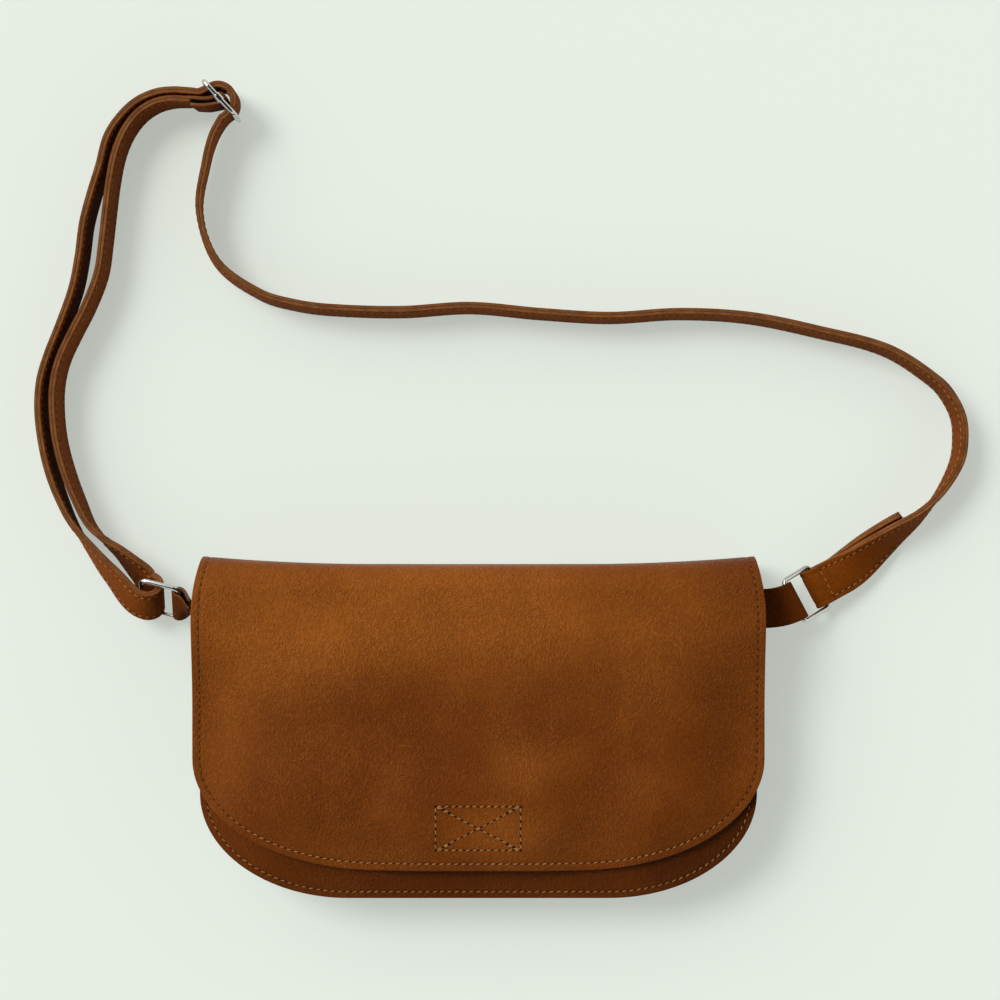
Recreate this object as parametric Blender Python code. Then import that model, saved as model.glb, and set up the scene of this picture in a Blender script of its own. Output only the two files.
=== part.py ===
"""A leather crossbody bag lying on its back panel, flap closed, its strap laid out on the ground.

Metres. +X runs across the bag, +Y from its bottom to its top fold, +Z up from the ground to the flap.
The origin is the centre of the back panel's outer face, which lies on the ground.
"""

import math

import bmesh
import bpy
from mathutils import Matrix, Vector

# Leather and seams
PANEL_HIDE = 0.0018
LINING_HIDE = 0.0010
GUSSET_HIDE = 0.0016
POCKET_HIDE = 0.0012
SEAM_GAP = 0.0003
SEAM_MARGIN = 0.0060

# Bag body
BODY_WIDTH = 0.2820
BODY_TOP = 0.0828
BODY_BOTTOM = -0.0855
BODY_CORNER_WIDTH = 0.0750
BODY_CORNER_HEIGHT = 0.0530
MOUTH_BELOW_FOLD = 0.0088
SEAM_HEIGHT = 0.0345
DOME_RISE = 0.0090
DOME_REACH = 0.0500
DOME_FADE_FROM = 0.0100
DOME_FADE_TO = 0.0680

# Flap and the band that turns it over the top
FLAP_WIDTH = 0.2890
FLAP_BOTTOM = -0.0707
FLAP_CORNER_WIDTH = 0.0950
FLAP_CORNER_HEIGHT = 0.0560
FLAP_TAPER = 0.0042
FLAP_TAPER_LENGTH = 0.0380
FLAP_CLEARANCE = 0.0006
CREASE_BELOW_FOLD = 0.0128
FOLD_RISE = 0.0130
FOLD_BULGE = 0.0045

# Hook and loop closure
TAPE_LENGTH = 0.0500
TAPE_WIDTH = 0.0290
LOOP_TAPE_HEIGHT = 0.0014
HOOK_TAPE_HEIGHT = 0.0014
TAPE_ABOVE_FLAP_EDGE = 0.0215
TAPE_BULGE_REACH = 0.0320

# Slip pocket inside
POCKET_WIDTH = 0.1500
POCKET_HEIGHT = 0.1000
POCKET_BELOW_FOLD = 0.0300

# Strap
STRAP_WIDTH = 0.0200
STRAP_LAYER = 0.0016
STRAP_GROUND_GAP = 0.0002
STRAND_GAP = 0.0003

# Rings and slider, of the same wire
WIRE_RADIUS = 0.0013
WIRE_CLEARANCE = 0.0003
RING_SIDE_PLAY = 0.0009
RING_REACH = 0.0200
RING_CORNER = 0.0028
SLIDER_REACH = 0.0116
SLIDER_SIDE_PLAY = 0.0034
SLIDER_CORNER = 0.0040

# Tabs that hold the rings
TAB_HIDE = 0.0016
SLIT_BELOW_EDGE = 0.00165
TAB_HEIGHT = 0.0180
TAB_FOOT = 0.0075
TAB_BEND = 0.0014
TAB_SLIT_PLAY = 0.0009
TAB_LOOP_PLAY = 0.0003

# Right ring, whose bars lie flat
RIGHT_TAB_REACH = 0.0205
RIGHT_TAB_RISE = 0.0035
RIGHT_RING_HEADING = math.radians(27.8)

# Left ring, whose bars stand at a slant
LEFT_TAB_REACH = 0.0127
LEFT_TAB_RISE = 0.0025
LEFT_RING_HEADING = math.radians(166.1)
LEFT_RING_DROP = math.radians(7.0)
LEFT_BAR_SLANT = math.radians(50.0)

# Strap lap at the right ring
LAP_LENGTH = 0.0440
LAP_LOOP = 0.0110
LAP_LOOP_PLAY = 0.0010
LAP_GAP = 0.0008

# Loose turn of the strap at the left ring
TURN_PLAY = 0.0032
TURN_PAST_BAR = 0.0033

# Slider: its direction seen from above, and the strap's way through it
SLIDER_HEADING = math.radians(-47.1)
SLIDER_STRAND_SHARE = 0.695
SLIDER_HUMP_SHARE = 0.10
END_SINGLE_LENGTH = 0.0130
END_TAIL = 0.0120

# The loop that the strap lies in, upward from the line through the rings
LOOP_RISE = 0.2516

# Places along the strap: across the rings, up the loop, tilt in degrees, lift in strap widths
SLIDER_PLACE_SHARES = (0.1165, 1.0000)
MAIN_SHARES = (
    (1.0513, 0.0481, 20, 0.205),
    (1.0800, 0.0807, 41, 0.165),
    (1.1102, 0.1133, 58, 0.12),
    (1.1431, 0.1467, 73, 0.05),
    (1.1704, 0.1860, 84, 0),
    (1.1899, 0.2258, 90, 0),
    (1.2037, 0.2675, 94, 0),
    (1.2077, 0.3072, 95, 0),
    (1.2057, 0.3490, 95, 0),
    (1.1945, 0.3867, 95, 0),
    (1.1727, 0.4249, 95, 0),
    (1.0993, 0.4909, 95, 0),
    (0.9968, 0.5294, 95, 0),
    (0.8944, 0.5580, 95, 0),
    (0.7920, 0.5660, 95, 0),
    (0.6890, 0.5580, 95, 0),
    (0.5863, 0.5660, 95, 0),
    (0.4834, 0.5783, 95, 0),
    (0.3807, 0.5700, 95, 0),
    (0.2780, 0.5743, 95, 0),
    (0.2255, 0.5839, 95, 0),
    (0.1736, 0.6053, 95, 0.02),
    (0.1096, 0.6705, 95, 0.04),
    (0.0835, 0.7742, 95, 0.08),
    (0.0941, 0.8768, 93, 0.12),
    (0.1050, 0.9281, 91, 0.14),
    (0.1193, 0.9622, 90, 0.14),
)
OUTER_SHARES = (
    (0.0872, 1.0159, 90, 0.14),
    (0.0688, 1.0171, 90, 0.13),
    (0.0488, 1.0175, 92, 0.12),
    (0.0229, 1.0123, 94, 0.1),
    (-0.0072, 0.9928, 95, 0.08),
    (-0.0336, 0.9571, 95, 0.05),
    (-0.0491, 0.9213, 95, 0.03),
    (-0.0597, 0.8661, 95, 0.02),
    (-0.0729, 0.8080, 95, 0),
    (-0.0838, 0.7492, 95, 0),
    (-0.0901, 0.6832, 95, 0),
    (-0.0995, 0.6165, 95, 0),
    (-0.1182, 0.5429, 95, 0),
    (-0.1365, 0.4781, 95, 0),
    (-0.1469, 0.4273, 95, 0),
    (-0.1495, 0.3692, 95, 0),
    (-0.1443, 0.3033, 95, 0),
    (-0.1337, 0.2381, 94, 0),
    (-0.1185, 0.1800, 91, 0.01),
    (-0.1021, 0.1331, 86, 0.04),
    (-0.0763, 0.0831, 75, 0.12),
    (-0.0445, 0.0310, 63, 0.3),
)
INNER_SHARES = (
    (-0.0034, 0.0338, 124, 0.04),
    (-0.0198, 0.0568, 115, 0.02),
    (-0.0353, 0.0775, 107, 0.01),
    (-0.0542, 0.0986, 99, 0),
    (-0.0766, 0.1308, 92, 0),
    (-0.0924, 0.1745, 87, 0),
    (-0.1107, 0.2397, 85, 0),
    (-0.1228, 0.3029, 85, 0),
    (-0.1279, 0.3609, 85, 0),
    (-0.1274, 0.4185, 85, 0),
    (-0.1193, 0.4694, 85, 0),
    (-0.1024, 0.5211, 85, 0),
    (-0.0812, 0.5791, 85, 0),
    (-0.0625, 0.6467, 85, 0),
    (-0.0554, 0.7126, 85, 0),
    (-0.0505, 0.7723, 85, 0),
    (-0.0445, 0.8370, 85, 0.01),
    (-0.0361, 0.8927, 85, 0.02),
    (-0.0227, 0.9368, 85, 0.04),
    (-0.0034, 0.9710, 85, 0.07),
    (0.0201, 0.9921, 86, 0.09),
    (0.0459, 1.0000, 88, 0.11),
    (0.0703, 0.9996, 90, 0.13),
    (0.0909, 0.9952, 90, 0.14),
    (0.1021, 0.9897, 90, 0.14),
)

# Steps of the curves
CORNER_STEPS = 11
SIDE_STEPS = 6
BOTTOM_STEPS = 4
INSET_SHARES = (0, 0.03, 0.065, 0.105, 0.15, 0.195, 0.245, 0.31, 0.42, 0.62, 1)
MOUTH_SHARE = 0.5
BAND_STEPS = 9
BAND_COLUMN_SHARES = (-1, -0.94, -0.87, -0.78, -0.66, -0.5, -0.3, 0, 0.3, 0.5, 0.66, 0.78, 0.87, 0.94, 1)
TAPE_COLUMNS = 7
TAPE_ROWS = 5
WIRE_SIDES = 10
CORNER_ARC_STEPS = 4
AHEAD_SHARE = 0.01
ROUTE_STEP = 0.0085
TURN_STEPS = 8

UP = Vector((0, 0, 1))
STRAP_HALF = STRAP_LAYER + SEAM_GAP / 2


def clear_scene():
    for old in list(bpy.data.objects):
        bpy.data.objects.remove(old)


def material(name, colour, roughness, metallic=0):
    made = bpy.data.materials.new(name)
    made.use_nodes = True
    shader = made.node_tree.nodes["Principled BSDF"]
    shader.inputs["Base Color"].default_value = (*colour, 1)
    shader.inputs["Roughness"].default_value = roughness
    shader.inputs["Metallic"].default_value = metallic
    return made


def place(name, bm, surface, origin=(0, 0, 0), smooth=True):
    """The mesh as an object whose own origin is at a point, such as one on its joint's axis."""
    bmesh.ops.recalc_face_normals(bm, faces=bm.faces)
    if bm.calc_volume(signed=True) < 0:
        bmesh.ops.reverse_faces(bm, faces=bm.faces)
    bmesh.ops.translate(bm, verts=bm.verts, vec=-Vector(origin))
    mesh = bpy.data.meshes.new(name)
    bm.to_mesh(mesh)
    bm.free()
    mesh.materials.append(surface)
    if smooth:
        mesh.shade_smooth()
        mesh.set_sharp_from_angle(angle=math.radians(40))
    made = bpy.data.objects.new(name, mesh)
    made.location = origin
    bpy.context.collection.objects.link(made)
    return made


def loft(sections, closed=False):
    """A solid through closed sections, one bridged to the next, with flat ends or joined in a ring."""
    bm = bmesh.new()
    loops = []
    for section in sections:
        verts = [bm.verts.new(point) for point in section]
        loops.append([bm.edges.new((verts[place - 1], verts[place])) for place in range(len(verts))])
    following = loops[1:] + loops[:1] if closed else loops[1:]
    for loop, other in zip(loops, following):
        bmesh.ops.bridge_loops(bm, edges=loop + other)
    if not closed:
        bmesh.ops.edgeloop_fill(bm, edges=loops[0])
        bmesh.ops.edgeloop_fill(bm, edges=loops[-1])
    return bm


def sheet(rows, low, high):
    """A sheet over rows of places, whose lower and upper faces follow two height functions."""
    bm = bmesh.new()
    chains = []
    for row in rows:
        verts = [bm.verts.new((x, y, low(x, y))) for x, y in row]
        chains.append([bm.edges.new(pair) for pair in zip(verts, verts[1:])])
    for chain, other in zip(chains, chains[1:]):
        bmesh.ops.bridge_loops(bm, edges=chain + other)
    raised = bmesh.ops.extrude_face_region(bm, geom=bm.faces[:], use_keep_orig=True)["geom"]
    for vert in (item for item in raised if isinstance(item, bmesh.types.BMVert)):
        vert.co.z = high(vert.co.x, vert.co.y)
    return bm


def slab(outline, low, high):
    """A flat sheet of any outline."""
    bm = bmesh.new()
    face = bm.faces.new([bm.verts.new((x, y, low)) for x, y in outline])
    raised = bmesh.ops.extrude_face_region(bm, geom=[face], use_keep_orig=True)["geom"]
    for vert in (item for item in raised if isinstance(item, bmesh.types.BMVert)):
        vert.co.z = high
    return bm


def cut(target, name, bm):
    """Cut a mesh's shape out of an object."""
    cutter = place(name, bm, target.data.materials[0], smooth=False)
    cutter.hide_render = True
    cutter.display_type = "WIRE"
    modifier = target.modifiers.new(name, "BOOLEAN")
    modifier.operation = "DIFFERENCE"
    modifier.solver = "EXACT"
    modifier.object = cutter


def ease(share):
    """A smooth step from 0 to 1."""
    share = min(max(share, 0), 1)
    return share * share * (3 - 2 * share)


def flap_narrowing(y):
    """How far the flap's side draws in toward the fold."""
    share = max((y - BODY_TOP) / FLAP_TAPER_LENGTH + 1, 0)
    return FLAP_TAPER * share**3


def u_outline(half_width, top, bottom, corner_width, corner_height, narrowing=None):
    """Places down the right side, round the corner and along the bottom, then back up the left."""
    corner_y = bottom + corner_height
    right = []
    for step in range(SIDE_STEPS):
        y = top + (corner_y - top) * step / SIDE_STEPS
        right.append((half_width - (narrowing(y) if narrowing else 0), y))
    for step in range(CORNER_STEPS):
        angle = math.pi / 2 * step / CORNER_STEPS
        across = half_width - corner_width * (1 - math.cos(angle))
        right.append((across, corner_y - corner_height * math.sin(angle)))
    for step in range(BOTTOM_STEPS):
        right.append(((half_width - corner_width) * (1 - step / BOTTOM_STEPS), bottom))
    return right + [(0, bottom)] + [(-x, y) for x, y in reversed(right)]


def inset_rows(outline):
    """The outline drawn in, row by row, to a shorter line along its open top."""
    half_width, top = outline[0]
    last = len(outline) - 1
    rows = []
    for share in INSET_SHARES:
        row = []
        for step, (x, y) in enumerate(outline):
            target = half_width * MOUTH_SHARE * (1 - 2 * step / last)
            row.append((x + (target - x) * share, y + (top - y) * share))
        rows.append(row)
    return rows


def body_outline(top, inset=0):
    return u_outline(
        BODY_WIDTH / 2 - inset,
        top,
        BODY_BOTTOM + inset,
        BODY_CORNER_WIDTH - inset,
        BODY_CORNER_HEIGHT - inset,
    )


def inside_distance(x, y):
    """How far a place lies inside the body's outline, its sides carried on upward."""
    across = abs(x) - (BODY_WIDTH / 2 - BODY_CORNER_WIDTH)
    below = BODY_BOTTOM + BODY_CORNER_HEIGHT - y
    if across > 0 and below > 0:
        share = math.hypot(across / BODY_CORNER_WIDTH, below / BODY_CORNER_HEIGHT)
        return math.hypot(across, below) * (1 / share - 1)
    if below > 0:
        return BODY_CORNER_HEIGHT - below
    return BODY_CORNER_WIDTH - across


def front_height(x, y):
    """Height of the front panel's outer face, domed over what the bag holds and level at its mouth."""
    hollow = 1 - ease(inside_distance(x, y) / DOME_REACH)
    fade = ease((DOME_FADE_TO - y) / (DOME_FADE_TO - DOME_FADE_FROM))
    return SEAM_HEIGHT + DOME_RISE * (1 - hollow * fade)


TAPE_Y = FLAP_BOTTOM + TAPE_ABOVE_FLAP_EDGE
TAPES_RISE = LOOP_TAPE_HEIGHT + HOOK_TAPE_HEIGHT + 3 * SEAM_GAP - FLAP_CLEARANCE


def lining_height(x, y):
    """Height of the flap lining's inner face, which bulges over the closure's tapes."""
    across = max(abs(x) - TAPE_LENGTH / 2 - LINING_HIDE, 0)
    along = max(abs(y - TAPE_Y) - TAPE_WIDTH / 2 - LINING_HIDE, 0)
    bulge = 1 - ease(math.hypot(across, along) / TAPE_BULGE_REACH)
    return front_height(x, y) + FLAP_CLEARANCE + TAPES_RISE * bulge


def over(height, rise):
    return lambda x, y: height(x, y) + rise


CREASE_Y = BODY_TOP - CREASE_BELOW_FOLD
MOUTH_Y = BODY_TOP - MOUTH_BELOW_FOLD
FLAP_RISE = LINING_HIDE + SEAM_GAP
CREASE_HEIGHT = front_height(0, CREASE_Y) + FLAP_CLEARANCE + FLAP_RISE + PANEL_HIDE


# Back and front panels
def back_panel():
    """The hide that lies on the ground, up to the crease at the foot of the fold."""
    outline = body_outline(BODY_TOP - PANEL_HIDE - SEAM_GAP)
    place("back_panel", slab(outline, 0, PANEL_HIDE), material("back hide", (0.16, 0.06, 0.012), 0.5))


def front_panel():
    """The domed panel under the flap, from the mouth down."""
    rows = inset_rows(body_outline(MOUTH_Y))
    bm = sheet(rows, over(front_height, -PANEL_HIDE), front_height)
    place("front_panel", bm, material("front hide", (0.12, 0.026, 0.003), 0.48))


# Gusset
def gusset():
    """The channel between the panels, its flanges turned out under the seams and slit for the tabs."""
    wall = SEAM_MARGIN
    bottom = PANEL_HIDE + SEAM_GAP
    edge = body_outline(MOUTH_Y - GUSSET_HIDE, SEAM_GAP)
    outer = body_outline(MOUTH_Y - GUSSET_HIDE, wall)
    inner = body_outline(MOUTH_Y - GUSSET_HIDE, wall + GUSSET_HIDE)
    sections = []
    for rim, out, into in zip(edge, outer, inner):
        tops = [front_height(*spot) - PANEL_HIDE - SEAM_GAP for spot in (rim, out, into)]
        sections.append(
            (
                (*rim, bottom),
                (*rim, bottom + GUSSET_HIDE),
                (*out, bottom + GUSSET_HIDE),
                (*out, tops[1] - GUSSET_HIDE),
                (*rim, tops[0] - GUSSET_HIDE),
                (*rim, tops[0]),
                (*into, tops[2]),
                (*into, bottom),
            )
        )
    made = place("gusset", loft(sections), material("gusset hide", (0.10, 0.022, 0.003), 0.5), smooth=False)
    slit_half = TAB_HIDE + SEAM_GAP / 2 + TAB_SLIT_PLAY / 2
    reach = STRAP_WIDTH / 2 + TAB_SLIT_PLAY / 2
    for side, name in ((-1, "left_slit"), (1, "right_slit")):
        centre = Vector((side * (BODY_WIDTH / 2 - wall - GUSSET_HIDE / 2), TAB_Y, TAB_HEIGHT))
        size = 2 * Vector((GUSSET_HIDE, reach, slit_half))
        bm = bmesh.new()
        bmesh.ops.create_cube(bm, size=1, matrix=Matrix.Translation(centre) @ Matrix.Diagonal((*size, 1)))
        cut(made, name, bm)


# Pocket and closure tapes
def inner_pocket():
    """A slip pocket sewn to the back panel's inner face."""
    top = BODY_TOP - POCKET_BELOW_FOLD
    half = POCKET_WIDTH / 2
    outline = [(half, top), (half, top - POCKET_HEIGHT), (-half, top - POCKET_HEIGHT), (-half, top)]
    low = PANEL_HIDE + SEAM_GAP
    bm = slab(outline, low, low + POCKET_HIDE)
    place("inner_pocket", bm, material("pocket hide", (0.11, 0.03, 0.006), 0.6), smooth=False)


def tape(name, low, high, surface):
    """A closure tape that follows the leather it is sewn to."""
    rows = []
    for row in range(TAPE_ROWS):
        y = TAPE_Y + TAPE_WIDTH * (0.5 - row / (TAPE_ROWS - 1))
        columns = [TAPE_LENGTH * (0.5 - column / (TAPE_COLUMNS - 1)) for column in range(TAPE_COLUMNS)]
        rows.append([(x, y) for x in columns])
    place(name, sheet(rows, low, high), surface)


def closure():
    tape(
        "loop_tape",
        over(front_height, SEAM_GAP),
        over(front_height, SEAM_GAP + LOOP_TAPE_HEIGHT),
        material("loop pile", (0.03, 0.012, 0.005), 0.95),
    )
    tape(
        "hook_tape",
        over(lining_height, -SEAM_GAP - HOOK_TAPE_HEIGHT),
        over(lining_height, -SEAM_GAP),
        material("hooks", (0.025, 0.010, 0.004), 0.8),
    )


# Flap, its lining and the fold band
def flap_pieces():
    """The flap and its lining, whose origins are on the crease that they lift about."""
    crease = (0, CREASE_Y, CREASE_HEIGHT)
    half = FLAP_WIDTH / 2
    for name, inset, low, hide, surface in (
        ("flap", 0, FLAP_RISE, PANEL_HIDE, material("flap hide", (0.17, 0.05, 0.008), 0.45)),
        ("flap_lining", SEAM_GAP, 0, LINING_HIDE, material("lining hide", (0.13, 0.045, 0.012), 0.7)),
    ):
        outline = u_outline(
            half - inset,
            CREASE_Y - SEAM_GAP / 2,
            FLAP_BOTTOM + inset,
            FLAP_CORNER_WIDTH - inset,
            FLAP_CORNER_HEIGHT - inset,
            flap_narrowing,
        )
        bm = sheet(inset_rows(outline), over(lining_height, low), over(lining_height, low + hide))
        place(name, bm, surface, origin=crease)


def band_path(share_across):
    """The band's middle line from the ground up the wall and over to the flap, at one column."""
    start = BODY_TOP - PANEL_HIDE / 2
    end = CREASE_Y + SEAM_GAP / 2
    top = CREASE_HEIGHT - PANEL_HIDE / 2
    wall_top = top - FOLD_RISE
    path = [(start, PANEL_HIDE / 2)]
    for step in range(1, BAND_STEPS + 1):
        path.append((start, PANEL_HIDE / 2 + (wall_top - PANEL_HIDE / 2) * step / BAND_STEPS))
    for step in range(1, BAND_STEPS + 1):
        angle = math.pi / 2 * step / BAND_STEPS
        path.append((end + (start - end) * math.cos(angle), wall_top + FOLD_RISE * math.sin(angle)))
    bulge = FOLD_BULGE * abs(share_across) ** 3
    return [Vector((0, y + bulge * math.sin(math.pi * z / top), z)) for y, z in path]


def top_band():
    """The stretch of hide between the two creases, fuller at its corners than in its middle."""
    sections = []
    for share in BAND_COLUMN_SHARES:
        path = band_path(share)
        outer = []
        inner = []
        for step, point in enumerate(path):
            along = path[min(step + 1, len(path) - 1)] - path[max(step - 1, 0)]
            out = Vector((0, along.z, -along.y)).normalized() * PANEL_HIDE / 2
            if step == 0:
                out = Vector((0, PANEL_HIDE / 2, 0))
            if step == len(path) - 1:
                out = Vector((0, 0, PANEL_HIDE / 2))
            across = share * (FLAP_WIDTH / 2 - flap_narrowing(min(point.y, BODY_TOP)))
            outer.append(point + out + Vector((across, 0, 0)))
            inner.append(point - out + Vector((across, 0, 0)))
        sections.append(outer + inner[::-1])
    foot = (0, BODY_TOP - PANEL_HIDE / 2, PANEL_HIDE / 2)
    place("top_band", loft(sections), material("fold hide", (0.15, 0.05, 0.01), 0.45), origin=foot)


# Places of the tabs, rings and slider
def heading_vector(heading, slope=0):
    return Vector((math.cos(heading) * math.cos(slope), math.sin(heading) * math.cos(slope), math.sin(slope)))


def square_to(direction, axis):
    return (direction - direction.project(axis)).normalized()


TAB_Y = MOUTH_Y - GUSSET_HIDE - SLIT_BELOW_EDGE - (STRAP_WIDTH + TAB_SLIT_PLAY) / 2
LOOP_RADIUS = WIRE_RADIUS + WIRE_CLEARANCE + STRAP_HALF
LAP_LOOP_RADIUS = LOOP_RADIUS + LAP_LOOP_PLAY
TURN_RADIUS = LOOP_RADIUS + TURN_PLAY
TAB_LOOP_RADIUS = WIRE_RADIUS + WIRE_CLEARANCE + TAB_LOOP_PLAY + TAB_HIDE / 2

RIGHT_TAB_BAR = Vector((BODY_WIDTH / 2 + RIGHT_TAB_REACH, TAB_Y + RIGHT_TAB_RISE, TAB_HEIGHT))
RIGHT_BAR = heading_vector(RIGHT_RING_HEADING + math.pi / 2)
RIGHT_STRAP_BAR_HEIGHT = LAP_LOOP_RADIUS + STRAP_HALF + STRAP_GROUND_GAP
RIGHT_RING_SLOPE = -math.asin((TAB_HEIGHT - RIGHT_STRAP_BAR_HEIGHT) / RING_REACH)
RIGHT_REACH = heading_vector(RIGHT_RING_HEADING, RIGHT_RING_SLOPE)
RIGHT_STRAP_BAR = RIGHT_TAB_BAR + RING_REACH * RIGHT_REACH

LEFT_TAB_BAR = Vector((-BODY_WIDTH / 2 - LEFT_TAB_REACH, TAB_Y + LEFT_TAB_RISE, TAB_HEIGHT))
LEFT_REACH = heading_vector(LEFT_RING_HEADING, -LEFT_RING_DROP)
LEFT_BAR = square_to(heading_vector(LEFT_RING_HEADING - math.pi / 2, LEFT_BAR_SLANT), LEFT_REACH)
LEFT_STRAP_BAR = LEFT_TAB_BAR + RING_REACH * LEFT_REACH

LOOP_SPREAD = RIGHT_STRAP_BAR.x - LEFT_STRAP_BAR.x
LOOP_BASE = (RIGHT_STRAP_BAR.y + LEFT_STRAP_BAR.y) / 2
SLIDER_LIFT = SLIDER_SIDE_PLAY / 2 + 2 * WIRE_RADIUS
SLIDER_ALONG = heading_vector(SLIDER_HEADING)
SLIDER_THROUGH = UP.cross(SLIDER_ALONG)


def loop_place(across_share, rise_share, height=0):
    return Vector((LEFT_STRAP_BAR.x + LOOP_SPREAD * across_share, LOOP_BASE + LOOP_RISE * rise_share, height))


SLIDER_CENTRE = loop_place(*SLIDER_PLACE_SHARES, SLIDER_LIFT + STRAP_WIDTH / 2)


# Wire pieces
def rounded_rectangle(half_a, half_b, corner):
    """Places round a rectangle with rounded corners."""
    places = []
    for turn, (side_a, side_b) in enumerate(((1, 1), (-1, 1), (-1, -1), (1, -1))):
        for step in range(CORNER_ARC_STEPS + 1):
            angle = math.pi / 2 * (turn + step / CORNER_ARC_STEPS)
            a = side_a * (half_a - corner) + corner * math.cos(angle)
            b = side_b * (half_b - corner) + corner * math.sin(angle)
            places.append((a, b))
    return places


def wire(path, closed):
    """A round wire along points that lie in a plane."""
    sections = []
    count = len(path)
    flat = (path[1] - path[0]).cross(path[count // 2] - path[0])
    flat = flat.normalized() if flat.length > 0 else (path[1] - path[0]).orthogonal().normalized()
    for step, point in enumerate(path):
        before = path[step - 1] if closed or step else point
        after = path[(step + 1) % count] if closed or step < count - 1 else point
        along = (after - before).normalized()
        side = along.cross(flat).normalized()
        section = []
        for corner in range(WIRE_SIDES):
            angle = 2 * math.pi * corner / WIRE_SIDES
            section.append(point + WIRE_RADIUS * (side * math.cos(angle) + flat * math.sin(angle)))
        sections.append(section)
    return loft(sections, closed)


METAL = ("plated wire", (0.75, 0.75, 0.76), 0.12, 1)


def ring(name, tab_bar, bar, reach):
    """A rectangular ring whose origin is on the bar that its tab holds."""
    half_bar = (STRAP_WIDTH + RING_SIDE_PLAY) / 2 + WIRE_RADIUS
    path = []
    for a, b in rounded_rectangle(RING_REACH / 2, half_bar, RING_CORNER):
        path.append(tab_bar + reach * (RING_REACH / 2 + a) + bar * b)
    place(name, wire(path, True), material(*METAL), origin=tab_bar)


def slider():
    """A three-bar slide standing on its edge, whose origin is on its middle bar."""
    half_bar = (STRAP_WIDTH + SLIDER_SIDE_PLAY) / 2 + WIRE_RADIUS
    path = []
    for a, b in rounded_rectangle(SLIDER_REACH, half_bar, SLIDER_CORNER):
        path.append(SLIDER_CENTRE + SLIDER_ALONG * a + UP * b)
    made = place("slider", wire(path, True), material(*METAL), origin=SLIDER_CENTRE)
    bar_path = [SLIDER_CENTRE - UP * half_bar, SLIDER_CENTRE + UP * half_bar]
    bar = place("slider_middle_bar", wire(bar_path, False), material(*METAL))
    bar.hide_render = True
    bar.display_type = "WIRE"
    joined = made.modifiers.new("middle bar", "BOOLEAN")
    joined.operation = "UNION"
    joined.solver = "EXACT"
    joined.object = bar


# Ribbons of leather
def ribbon(stations, width, low, high):
    """A solid strip along stations of a point, its width's direction and its upward normal."""
    bm = bmesh.new()
    lift = bm.verts.layers.float_vector.new("lift")
    rails = []
    for point, across, normal in stations:
        rail = [bm.verts.new(point + across * side * width / 2 + normal * low) for side in (-1, 1)]
        for vert in rail:
            vert[lift] = normal * (high - low)
        rails.append(rail)
    for (near, far), (next_near, next_far) in zip(rails, rails[1:]):
        bm.faces.new((near, far, next_far))
        bm.faces.new((near, next_far, next_near))
    raised = bmesh.ops.extrude_face_region(bm, geom=bm.faces[:], use_keep_orig=True)["geom"]
    for vert in (item for item in raised if isinstance(item, bmesh.types.BMVert)):
        vert.co += Vector(vert[lift])
    return bm


def hermite(start, start_way, end, end_way, share):
    """A place on the smooth curve between two places with given ways through them."""
    a = 2 * share**3 - 3 * share**2 + 1
    b = share**3 - 2 * share**2 + share
    c = share**3 - share**2
    return start * a + start_way * b + end * (1 - a) + end_way * c


def tab(name, side, bar_centre, bar, reach_heading):
    """A tab that wraps a ring's bar, passes through the gusset's slit and spreads into a foot inside."""
    flat_half = (TAB_HIDE + SEAM_GAP) / 2
    outward = Vector((side, 0, 0))
    across = Vector((0, side, 0))
    wall_inner = BODY_WIDTH / 2 - SEAM_MARGIN - GUSSET_HIDE
    foot_face = wall_inner - SEAM_GAP - TAB_HIDE / 2
    bend_centre = Vector((side * (foot_face + TAB_BEND), TAB_Y, TAB_HEIGHT))
    slit = bend_centre
    leaving = Vector((side * (BODY_WIDTH / 2 - SEAM_MARGIN + SEAM_GAP), TAB_Y, TAB_HEIGHT))
    length = (bar_centre - leaving).length
    half = []
    foot_top = flat_half + TAB_BEND + TAB_FOOT
    half.append((slit - outward * TAB_BEND + UP * foot_top, across, -outward))
    for step in range(CORNER_ARC_STEPS + 1):
        angle = math.pi / 2 * step / CORNER_ARC_STEPS
        turned = -outward * math.cos(angle) - UP * math.sin(angle)
        centre = slit + UP * (flat_half + TAB_BEND)
        half.append((centre + turned * TAB_BEND, across, turned))
    leaves = [[], []]
    for step in range(TURN_STEPS + 1):
        share = step / TURN_STEPS
        point = hermite(leaving, outward * length, bar_centre, reach_heading * length, share)
        ahead = hermite(leaving, outward * length, bar_centre, reach_heading * length, share + AHEAD_SHARE)
        along = (ahead - point).normalized()
        width_way = across.slerp(bar, ease(share))
        width_way = square_to(width_way, along) if step < TURN_STEPS else bar
        normal = along.cross(width_way).normalized()
        if normal.dot(UP) < 0:
            normal = -normal
        spread = flat_half + (TAB_LOOP_RADIUS - flat_half) * ease(share)
        leaves[0].append((point + normal * spread, width_way, -normal))
        leaves[1].append((point - normal * spread, width_way, normal))
    end_normal = -leaves[0][-1][2]
    arc = []
    for step in range(1, TURN_STEPS):
        angle = math.pi * step / TURN_STEPS
        out = end_normal * math.cos(angle) + square_to(reach_heading, bar) * math.sin(angle)
        arc.append((bar_centre + out * TAB_LOOP_RADIUS, bar, -out))
    mirrored = []
    for point, way, normal in half:
        flipped = Vector((point.x, point.y, 2 * TAB_HEIGHT - point.z))
        mirrored.append((flipped, way, Vector((normal.x, normal.y, -normal.z))))
    stations = half + leaves[0] + arc + leaves[1][::-1] + mirrored[::-1]
    bm = ribbon(stations, STRAP_WIDTH, -TAB_HIDE / 2, TAB_HIDE / 2)
    place(name, bm, material(name + " hide", (0.05, 0.012, 0.002), 0.5))


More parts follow.
